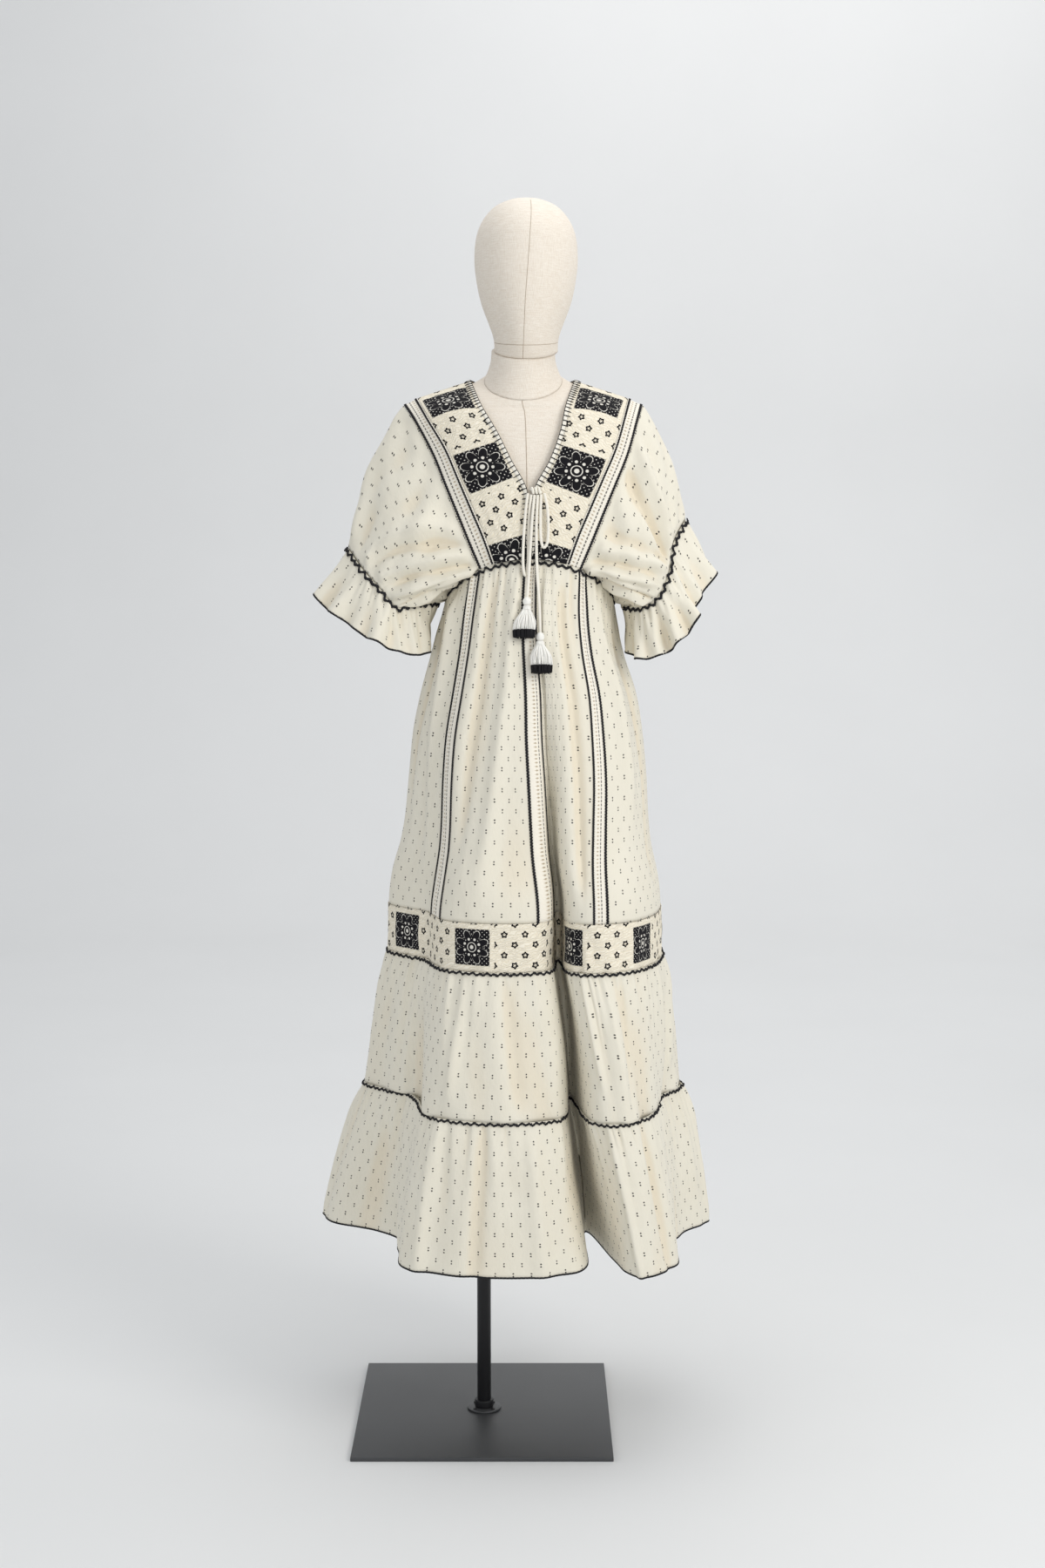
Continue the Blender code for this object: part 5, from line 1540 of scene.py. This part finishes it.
    def build_binding(self) -> tuple[bpy.types.Object, ...]:
        """The neck binding, its black edge and its blanket stitches, which it returns."""
        bodice = self.bodice
        frees, ways, outs = [], [], []
        for side in (Side.RIGHT, Side.LEFT):
            half = []
            for face, count in ((Face.FRONT, 90), (Face.BACK, 40)):
                r = np.linspace(0, bodice.neck_rows[face], count)
                if face is Face.FRONT:
                    r = r[::-1]
                free = bodice.seams(side, face, r)[0]
                way = bodice.neck_way(side, face, r)
                out = unit(np.cross(way, np.gradient(free, axis=0)))
                start = 0 if face is Face.FRONT else 1
                half.append((free[start:], way[start:], out[start:]))
            free, way = (np.concatenate([h[i] for h in half]) for i in (0, 1))
            frees.append(free if side is Side.RIGHT else free[::-1][1:])
            ways.append(way if side is Side.RIGHT else way[::-1][1:])
        free, way = np.concatenate(frees), unit(np.concatenate(ways))
        free[0, 2] += 0.0008
        free[-1, 2] += 0.0008
        along = unit(np.gradient(free, axis=0))
        out = unit(np.cross(along, way))
        chest = np.array((0, -1.0, 0))
        if (out[10] * chest).sum() < 0:
            out = -out
        width, steps = 0.0056, np.linspace(0, 1, 6)
        crown = np.sin(math.pi * steps) * 0.0005 + 0.0002
        points = free[:, None] + way[:, None] * (width * steps)[None, :, None] + out[:, None] * crown[None, :, None]
        length = np.concatenate([[0], np.cumsum(np.linalg.norm(np.diff(free, axis=0), axis=1))])
        flat = np.stack(np.broadcast_arrays(length[:, None], (steps * width)[None, :]), 2)
        normal = np.cross(points[10, 1] - points[10, 0], points[11, 0] - points[10, 0])
        grid = Grid(points, flat, outward=1.0 if (normal * chest).sum() < 0 else -1.0)
        binding = self.wardrobe.dress(grid.object("neck_binding", 0.0014), "cream_cotton_thread", "embroidered",
                                      "neck_binding")
        edge, _ = resampled(free + out * 0.0003, out, 0.0015)
        cord = joined("neck_edge_stitch", [tube(edge, 0.00075, 6)])
        edging = self.wardrobe.dress(cord, "black_braid", "braid")
        bars = []
        for at in np.arange(0.004, length[-1] - 0.003, 0.0078):
            here = np.array([np.interp(at, length, free[:, i]) for i in range(3)])
            into = unit(np.array([np.interp(at, length, way[:, i]) for i in range(3)]))
            up = unit(np.array([np.interp(at, length, out[:, i]) for i in range(3)]))
            s = np.linspace(0, 1, 5)[:, None]
            bars.append(tube(here + into * 0.0106 * s + up * (0.0014 + 0.0007 * np.sin(math.pi * s)), 0.00080, 5))
        stitches = self.wardrobe.dress(joined("blanket_stitches", bars), "black_braid", "braid")
        return binding, edging, stitches

    def build_sleeve(self, side: Side) -> None:
        """A sleeve with its ruffle, the braid on their seam and the ruffle's black edge."""
        dress, word = self.wardrobe.dress, side.word
        sleeve = Sleeve(self.bodice, side)
        grid = sleeve.grid(np.arange(0, 32, 0.14), np.linspace(0.0, 0.995, 64), closed=True)
        obj = dress(grid.object(f"sleeve_{word}"), "dotted_cotton_turned", "cotton", f"sleeve_{word}")
        self.wardrobe.sheet(obj, cut_of(grid, 1.05), "hung", "form_torso")
        ruffle, around = Ruffle(sleeve), np.arange(0, 32, 0.11)
        ruched = Trim(width=0.0056, thickness=0.0036, pitch=0.0034, picot=0.3, wobble=0.0020, wave=0.0150)
        path, ups = ruffle.line(around, np.full_like(around, 0.045), 0.0024)
        name = f"sleeve_braid_{word}"
        braid = dress(ruched.object(name, path, ups, True), "black_braid", "braid", name)
        edge = Trim(width=0.0034, thickness=0.0028, pitch=0.0060, picot=0.1)
        path, ups = ruffle.line(around, np.full_like(around, 1.0))
        name = f"sleeve_edge_{word}"
        hem = dress(edge.object(name, path, ups, True), "black_braid", "braid", name)
        grid = ruffle.grid(around, np.linspace(0.012, 1, 24), closed=True)
        name = f"sleeve_ruffle_{word}"
        obj = dress(grid.object(name), "dotted_cotton", "cotton", name)
        self.wardrobe.sheet(obj, cut_of(grid, 1.25), "gathered", f"sleeve_{word}", (braid, hem))


# Drawstring
@dataclass
class Drawstring:
    """The cords that hang from a bow at the V, with their beads and tassels."""

    wardrobe: Wardrobe
    radius: float = 0.0023
    bow_at: tuple[float, float, float] = (0.0203, -0.1199, 1.4640)
    bow_half: tuple[float, float, float] = (0.0125, 0.0050, 0.0060)
    routes: dict[str, tuple] = field(default_factory=lambda: {
        "bow_loop_right": (
            (0.0080, -0.1210, 1.4600), (0.0043, -0.1240, 1.4300), (0.0015, -0.1260, 1.3900),
            (0.0008, -0.1300, 1.3560), (0.0035, -0.1320, 1.3390), (0.0073, -0.1284, 1.3430),
            (0.0084, -0.1264, 1.3580), (0.0086, -0.1228, 1.3760), (0.0090, -0.1220, 1.4050),
            (0.0105, -0.1212, 1.4350), (0.0129, -0.1210, 1.4582)),
        "bow_loop_left": (
            (0.0325, -0.1210, 1.4600), (0.0368, -0.1240, 1.4400), (0.0385, -0.1250, 1.4100),
            (0.0370, -0.1265, 1.3870), (0.0310, -0.1275, 1.3800), (0.0275, -0.1270, 1.3930),
            (0.0268, -0.1255, 1.4200), (0.0276, -0.1210, 1.4582)),
        "drawstring_right": (
            (0.0178, -0.1210, 1.4576), (0.0142, -0.1268, 1.4200), (0.0112, -0.1310, 1.3700),
            (0.0090, -0.1370, 1.3300), (0.0070, -0.1430, 1.3060)),
        "drawstring_left": (
            (0.0227, -0.1210, 1.4576), (0.0207, -0.1265, 1.4100), (0.0215, -0.1330, 1.3500),
            (0.0250, -0.1430, 1.2950), (0.0262, -0.1500, 1.2540))})
    far_ends: dict[str, str] = field(default_factory=lambda: {
        "bow_loop_right": "object", "bow_loop_left": "object", "drawstring_right": "fitting",
        "drawstring_left": "fitting"})
    beads: dict[str, tuple] = field(default_factory=lambda: {
        "right": ((0.0066, -0.1450, 1.2998), -0.0040), "left": ((0.0262, -0.1525, 1.2478), 0.0020)})
    bead_radius: float = 0.0064
    skirt_radius: float = 0.0180
    height: float = 0.0370
    tip: float = 0.0120
    flatness: float = 0.50
    tilt: float = 15.0
    strands: int = 110

    def build(self) -> None:
        """Builds the cords first, then the bow and the tassels."""
        with_pieces = {name: [] for name in self.routes}
        for hand in ("right", "left"):
            with_pieces[f"drawstring_{hand}"] = self.tassel(hand)
        with_pieces["drawstring_right"].append(self.bow())
        for name, route in self.routes.items():
            path = Spline(np.arange(len(route)), np.asarray(route) + (AXIS_X, 0, 0))
            path = path.at(np.linspace(0, len(route) - 1, 260))
            points, _ = resampled(path, path, 0.0008)
            s = np.arange(len(points)) * 0.0008
            turns = 2 * math.pi * np.arange(12) / 12
            lay = 1.5 * turns[None, :] + s[:, None] * 2 * math.pi / 0.0105 * 1.5
            profile = 0.80 + 0.24 * np.abs(np.cos(lay))
            obj = joined(name, [tube(points, self.radius * 0.98, 12, profile)])
            self.wardrobe.dress(obj, "cream_cotton_thread", "cord", name)
            length = float(np.linalg.norm(np.diff(points, axis=0), axis=1).sum())
            tuple(points[0])
            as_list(with_pieces[name])

    def bow(self) -> bpy.types.Object:
        """The bow's knot: a cord wound round three times."""
        turns = np.linspace(0, 3 * 2 * math.pi, 120)
        x = np.linspace(-0.6, 0.6, 120) * self.bow_half[0]
        path = np.stack([x, np.cos(turns) * self.bow_half[1] * 0.55, np.sin(turns) * self.bow_half[2] * 0.62], 1)
        obj = joined("bow_knot", [tube(path + np.asarray(self.bow_at) + (AXIS_X, 0, 0), 0.0020, 10)])
        return self.wardrobe.dress(obj, "cream_cotton_thread", "cord", "bow_knot")

    def hung(self, points: Array, middle: Array) -> Array:
        """Points of a tassel, tilted to lie on the skirt and moved to their place."""
        turn = np.array(Matrix.Rotation(-math.radians(self.tilt), 3, "X"))
        return points @ turn.T + middle

    def tassel(self, hand: str) -> list[bpy.types.Object]:
        """A bead, a tassel of many strands and its black tip."""
        at, shift = self.beads[hand]
        middle = np.asarray(at) + (AXIS_X, 0, 0)
        turns = np.linspace(0.06, 0.94, 220) * math.pi
        spin = turns * 26
        r = self.bead_radius * 0.86 * np.sin(turns)
        wound = np.stack([r * np.cos(spin), r * np.sin(spin), self.bead_radius * 0.9 * np.cos(turns)], 1)
        core = np.linspace(0.06, 0.94, 24) * math.pi
        axis = np.stack([0 * core, 0 * core, self.bead_radius * 0.9 * np.cos(core)], 1)
        parts = (tube(wound, 0.0010, 6), tube(axis, self.bead_radius * 0.86 * np.sin(core), 20))
        bead = joined(f"tassel_bead_{hand}", [(self.hung(points, middle), loops) for points, loops in parts])
        self.wardrobe.dress(bead, "tassel_thread", "cord", f"tassel_bead_{hand}")
        top = -self.bead_radius * 0.94 - 0.0003
        foot, end = top - self.height, top - self.height - self.tip
        draw = np.random.default_rng(7 if hand == "right" else 8)
        cream, black = [], []
        for k in range(self.strands):
            turn = 2.399963 * k
            share = math.sqrt((k + 0.5) / self.strands)
            lean = draw.uniform(-0.06, 0.06)
            s = np.linspace(0, 1, 9)
            wide = 0.0040 + (self.skirt_radius * 0.92 - 0.0040) * eased(s * 1.35)
            sway = draw.uniform(-0.0009, 0.0009) * np.sin(s * math.pi * 1.5)
            x = wide * share * math.cos(turn + lean) + shift * s + sway
            y = wide * share * math.sin(turn + lean) * self.flatness
            cream.append(tube(np.stack([x, y, top + (foot - top) * s], 1), 0.00100, 4))
            stop = end + draw.uniform(0.0, 0.0012)
            t = np.linspace(0, 1, 4)
            black.append(tube(np.stack([x[-1] * (1 - 0.04 * t), y[-1] + 0 * t, foot - 0.0002 + (stop - foot) * t], 1),
                              0.00085, 4))
        ring = np.linspace(0, 2 * math.pi, 40)
        for z in (top - 0.0022, top - 0.0040, top - 0.0058):
            loop = np.stack([0.0052 * np.cos(ring), 0.0042 * np.sin(ring), np.full(40, z)], 1)
            cream.append(tube(loop, 0.0010, 6))
        pieces = [bead]
        for name, parts, finish, slot in ((f"tassel_{hand}", cream, "tassel_thread", "cord"),
                                          (f"tassel_tip_{hand}", black, "black_braid", "braid")):
            parts = [(self.hung(points, middle), loops) for points, loops in parts]
            pieces.append(self.wardrobe.dress(joined(name, parts), finish, slot, name))
        return pieces


# Stand
class FormPart(Surface):
    """Part of the dress form: an angle across, a row of its section table down."""

    steps = (1.0, 0.05)

    def __init__(self, rows: tuple, shift: float, inset: float = 0.0) -> None:
        """Keeps the part's sections."""
        self.rows, self.shift, self.inset = np.asarray(rows, float), shift, inset

    def form(self, a: Array, v: Array) -> Array:
        """The smooth surface's points."""
        row = Spline(np.arange(len(self.rows)), self.rows).at(np.clip(v, 0, len(self.rows) - 1))
        cos, sin = np.cos(np.radians(a)), np.sin(np.radians(a))
        depth = np.where(cos > 0, row[..., 4], row[..., 5]) - self.inset
        x, y = self.shift + (row[..., 3] - self.inset) * sin, -depth * cos
        z = row[..., 0] + y * np.where(y < 0, row[..., 1], row[..., 2])
        return np.stack([AXIS_X + x, y, z], -1)


@dataclass
class DressForm:
    """The limbless form, its pole and its square plate."""

    wardrobe: Wardrobe
    # z, rise_front, rise_back, half_width, front, back
    torso: tuple = (
        (1.6360, 0.52, 0.52, 0.0600, 0.068, 0.055), (1.6290, 0.45, 0.10, 0.0850, 0.070, 0.070),
        (1.6170, 0.33, 0.05, 0.1180, 0.071, 0.080), (1.6050, 0.22, 0.03, 0.1465, 0.072, 0.085),
        (1.5900, 0.10, 0.00, 0.1620, 0.076, 0.090), (1.5600, 0.00, 0.00, 0.1690, 0.084, 0.099),
        (1.5000, 0.00, 0.00, 0.1650, 0.100, 0.103), (1.4500, 0.00, 0.00, 0.1500, 0.107, 0.100),
        (1.4000, 0.00, 0.00, 0.1350, 0.107, 0.092), (1.3400, 0.00, 0.00, 0.1170, 0.098, 0.080),
        (1.2700, 0.00, 0.00, 0.1080, 0.090, 0.076), (1.2000, 0.00, 0.00, 0.1130, 0.092, 0.084),
        (1.1200, 0.00, 0.00, 0.1370, 0.098, 0.102), (1.0400, 0.00, 0.00, 0.1560, 0.100, 0.116),
        (0.9800, 0.00, 0.00, 0.1560, 0.096, 0.110), (0.9450, 0.00, 0.00, 0.1460, 0.086, 0.098),
        (0.9310, 0.00, 0.00, 0.1250, 0.070, 0.082),
    )
    neck: tuple = (
        (1.6363, 0.52, 0.52, 0.0600, 0.068, 0.055), (1.6490, 0.45, 0.45, 0.0545, 0.064, 0.054),
        (1.6640, 0.38, 0.38, 0.0500, 0.061, 0.054), (1.6807, 0.30, 0.30, 0.0485, 0.060, 0.055),
    )
    head: tuple = (
        (1.6810, 0.30, 0.30, 0.0485, 0.060, 0.055), (1.7000, 0.12, 0.12, 0.0500, 0.078, 0.058),
        (1.7210, 0.04, 0.04, 0.0570, 0.087, 0.068), (1.7500, 0.00, 0.00, 0.0680, 0.094, 0.084),
        (1.7800, 0.00, 0.00, 0.0750, 0.097, 0.095), (1.8150, 0.00, 0.00, 0.0790, 0.096, 0.101),
        (1.8500, 0.00, 0.00, 0.0765, 0.091, 0.099), (1.8750, 0.00, 0.00, 0.0670, 0.078, 0.087),
        (1.8950, 0.00, 0.00, 0.0500, 0.057, 0.063), (1.9060, 0.00, 0.00, 0.0280, 0.032, 0.035),
        (1.9090, 0.00, 0.00, 0.0100, 0.011, 0.012),
    )
    plate_side: float = 0.400
    plate_thickness: float = 0.006
    pole_radius: float = 0.011
    pole_top: float = 0.9307
    flange_radius: float = 0.027
    flange_thickness: float = 0.003

    def build(self) -> None:
        """Builds the form, its seams and its stand."""
        parts = {
            "form_torso": FormPart(self.torso, 0.0005, 0.0003), "form_neck": FormPart(self.neck, 0.001),
            "form_head": FormPart(self.head, 0.0055),
        }
        self.torso_part, self.neck_part, self.head_part = parts.values()
        for name, part in parts.items():
            count = len(part.rows)
            angles = np.arange(0, 360, 3.75)
            points = part.at(angles[None, :], np.linspace(0, count - 1, (count - 1) * 6 + 1)[:, None])
            self.wardrobe.dress(self.capped(name, points[::-1]), "linen_cover", "linen", name)
        self.build_seams()
        self.build_stand()

    def capped(self, name: str, points: Array) -> bpy.types.Object:
        """A closed solid through rings of points, from the foot up."""
        rows, columns = points.shape[:2]
        index = np.arange(rows * columns).reshape(rows, columns)
        index = np.concatenate([index, index[:, :1]], 1)
        loops = np.stack([index[:-1, :-1], index[:-1, 1:], index[1:, 1:], index[1:, :-1]], 2).reshape(-1, 4).tolist()
        ends = np.concatenate([points.reshape(-1, 3), points[:1].mean(1), points[-1:].mean(1)])
        low, high = rows * columns, rows * columns + 1
        for k in range(columns):
            loops.append([int(index[0, k + 1]), int(index[0, k]), low])
            loops.append([int(index[-1, k]), int(index[-1, k + 1]), high])
        return joined(name, [(ends, loops)])

    def build_seams(self) -> None:
        """The linen's stitched seams: down the face, under the chin, round the neck and down the chest."""
        head, neck, torso = self.head_part, self.neck_part, self.torso_part
        rows = np.linspace(0.05, 8.4, 120)
        lines = [
            head.at(np.interp(rows, (0, 3, 8.4), (-6.0, -1.0, 9.0)), rows, 0.0002),
            head.at(np.full(100, 180.0), np.linspace(0.05, 9.5, 100), 0.0002),
            head.at(np.linspace(-78, 78, 80), np.linspace(0, 1, 80) * 0 + 0.72, 0.0002),
            head.at(np.linspace(-180, 180, 120), np.full(120, 0.03), 0.0003),
            torso.at(np.linspace(-1.0, 3.0, 60), np.linspace(0.10, 8.0, 60), 0.0001),
            neck.at(np.full(30, 180.0), np.linspace(0.1, 2.9, 30), 0.0002),
        ]
        seams = joined("form_seams", [tube(resampled(line, line, 0.0025)[0], 0.00055, 5) for line in lines])
        self.wardrobe.dress(seams, "seam_thread", "linen")

    def build_stand(self) -> None:
        """The plate, the flange with its screws, and the pole."""
        thick = self.plate_thickness
        plate = self.block("base_plate", "cube", size=1.0, location=(0, 0, thick / 2))
        plate.scale = (self.plate_side, self.plate_side, thick)
        self.settle(plate, 0.0009)
        self.wardrobe.dress(plate, "plate_coat", "steel", "base_plate")
        base = thick + 0.0003
        flange = self.block("pole_flange", "cylinder", vertices=64, radius=self.flange_radius,
                            depth=self.flange_thickness, location=(0, 0, base + self.flange_thickness / 2))
        self.settle(flange, 0.0008)
        self.wardrobe.dress(flange, "plate_coat", "steel", "pole_flange")
        foot = base + self.flange_thickness + 0.0003
        pole = self.block("pole", "cylinder", vertices=64, radius=self.pole_radius, depth=self.pole_top - foot,
                          location=(0, 0, (self.pole_top + foot) / 2))
        self.settle(pole, 0.0006)
        self.wardrobe.dress(pole, "pole_coat", "steel", "pole")
        collar = self.block("pole_collar", "cylinder", vertices=64, radius=0.0150, depth=0.012,
                            location=(0, 0, foot + 0.006))
        self.settle(collar, 0.0012)
        self.wardrobe.dress(collar, "pole_coat", "steel")
        for k in range(4):
            turn = math.radians(45 + 90 * k)
            screw = self.block(f"flange_screw_{k + 1}", "cylinder", vertices=24, radius=0.0028, depth=0.0014,
                               location=(0.0205 * math.cos(turn), 0.0205 * math.sin(turn), foot + 0.0005))
            self.settle(screw, 0.0004)
            self.wardrobe.dress(screw, "pole_coat", "steel")

    def block(self, name: str, kind: str, **sizes) -> bpy.types.Object:
        """A primitive at its size and place, alone in the selection."""
        bpy.ops.object.select_all(action="DESELECT")
        getattr(bpy.ops.mesh, f"primitive_{kind}_add")(**sizes)
        obj = bpy.context.object
        obj.name = obj.data.name = name
        return obj

    def settle(self, obj: bpy.types.Object, edge: float) -> None:
        """Applies the piece's place and size, and rounds its edges."""
        bpy.ops.object.transform_apply(location=True, rotation=True, scale=True)
        bevel = obj.modifiers.new("Edge", "BEVEL")
        bevel.width, bevel.segments, bevel.limit_method = edge, 3, "ANGLE"
        apply_modifiers(obj)
        bpy.ops.object.shade_smooth_by_angle(angle=math.radians(35))


@dataclass
class Studio:
    """The camera, the pale floor and wall, and the soft lights."""

    wardrobe: Wardrobe
    camera_at: tuple[float, float, float] = (0.0616, -3.39, 1.34)
    pitch: float = 5.5
    lens: float = 50.0
    sensor: float = 36.0

    def build_camera(self) -> None:
        """The camera at the photograph's viewing angle."""
        data = bpy.data.cameras.new("camera")
        data.lens, data.sensor_fit = self.lens, "VERTICAL"
        data.sensor_height = data.sensor_width = self.sensor
        camera = bpy.data.objects.new("camera", data)
        camera.location = self.camera_at
        camera.rotation_euler = (math.radians(90 - self.pitch), 0, 0)
        bpy.context.scene.collection.objects.link(camera)
        bpy.context.scene.camera = camera

    def light(self, name: str, at: tuple, aim: tuple, size: float, power: float, colour: tuple) -> None:
        """A square soft light."""
        data = bpy.data.lights.new(name, "AREA")
        data.size, data.energy, data.color = size, power, colour
        lamp = bpy.data.objects.new(name, data)
        lamp.location = at
        lamp.rotation_euler = (Vector(aim) - Vector(at)).to_track_quat("-Z", "Y").to_euler()
        lamp.visible_camera = False
        bpy.context.scene.collection.objects.link(lamp)

    def build(self) -> None:
        """Floor, wall, lights and the even light of the room."""
        x = np.linspace(-9, 9, 3)
        bend = np.linspace(0, math.pi / 2, 14)
        radius, wall = 2.0, 6.4
        y = np.concatenate([[-9.0, wall - radius], wall - radius + radius * np.sin(bend[1:]), [wall]])
        z = np.concatenate([[0.0, 0.0], radius - radius * np.cos(bend[1:]), [8.0]])
        points = np.stack(np.broadcast_arrays(x[None, :], y[:, None], z[:, None]), 2)
        points[..., 2] -= 0.0004
        flat = points[..., :2]
        floor = Grid(points, flat, outward=-1.0).object("studio_floor", thickness=0)
        floor.data.materials.append(self.wardrobe.finishes["studio_floor"])
        aim = (0.05, 0.0, 1.05)
        self.light("key", (2.5, -2.4, 2.5), aim, 1.6, 54.0, (1.0, 0.985, 0.96))
        self.light("fill", (-2.7, -2.4, 1.9), aim, 2.6, 13.0, (0.97, 0.985, 1.0))
        self.light("front", (0.3, -4.6, 1.7), aim, 2.0, 16.0, (1.0, 0.99, 0.97))
        self.light("top", (0.2, 0.3, 3.6), (0.05, 0.1, 1.0), 2.4, 30.0, (1.0, 1.0, 1.0))
        self.light("backdrop", (1.2, 3.2, 5.2), (1.2, 6.4, 3.0), 4.0, 90.0, (1.0, 0.99, 0.98))
        world = bpy.data.worlds.new("room")
        world.use_nodes = True
        world.node_tree.nodes["Background"].inputs["Color"].default_value = (0.93, 0.96, 1.0, 1.0)
        world.node_tree.nodes["Background"].inputs["Strength"].default_value = 0.55
        bpy.context.scene.world = world
        bpy.context.scene.view_settings.view_transform = "Standard"


def main() -> None:
    """Builds the studio, the cords and every piece of the dress and its stand."""
    logging.basicConfig(level=logging.INFO, format="%(message)s")
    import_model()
    wardrobe = Wardrobe()
    studio = Studio(wardrobe)
    studio.build_camera()
    Drawstring(wardrobe).build()
    skirt = Skirt(wardrobe)
    skirt.build()
    Top(wardrobe, Bodice(skirt.upper)).build()
    DressForm(wardrobe).build()
    studio.build()


if __name__ == "__main__":
    main()
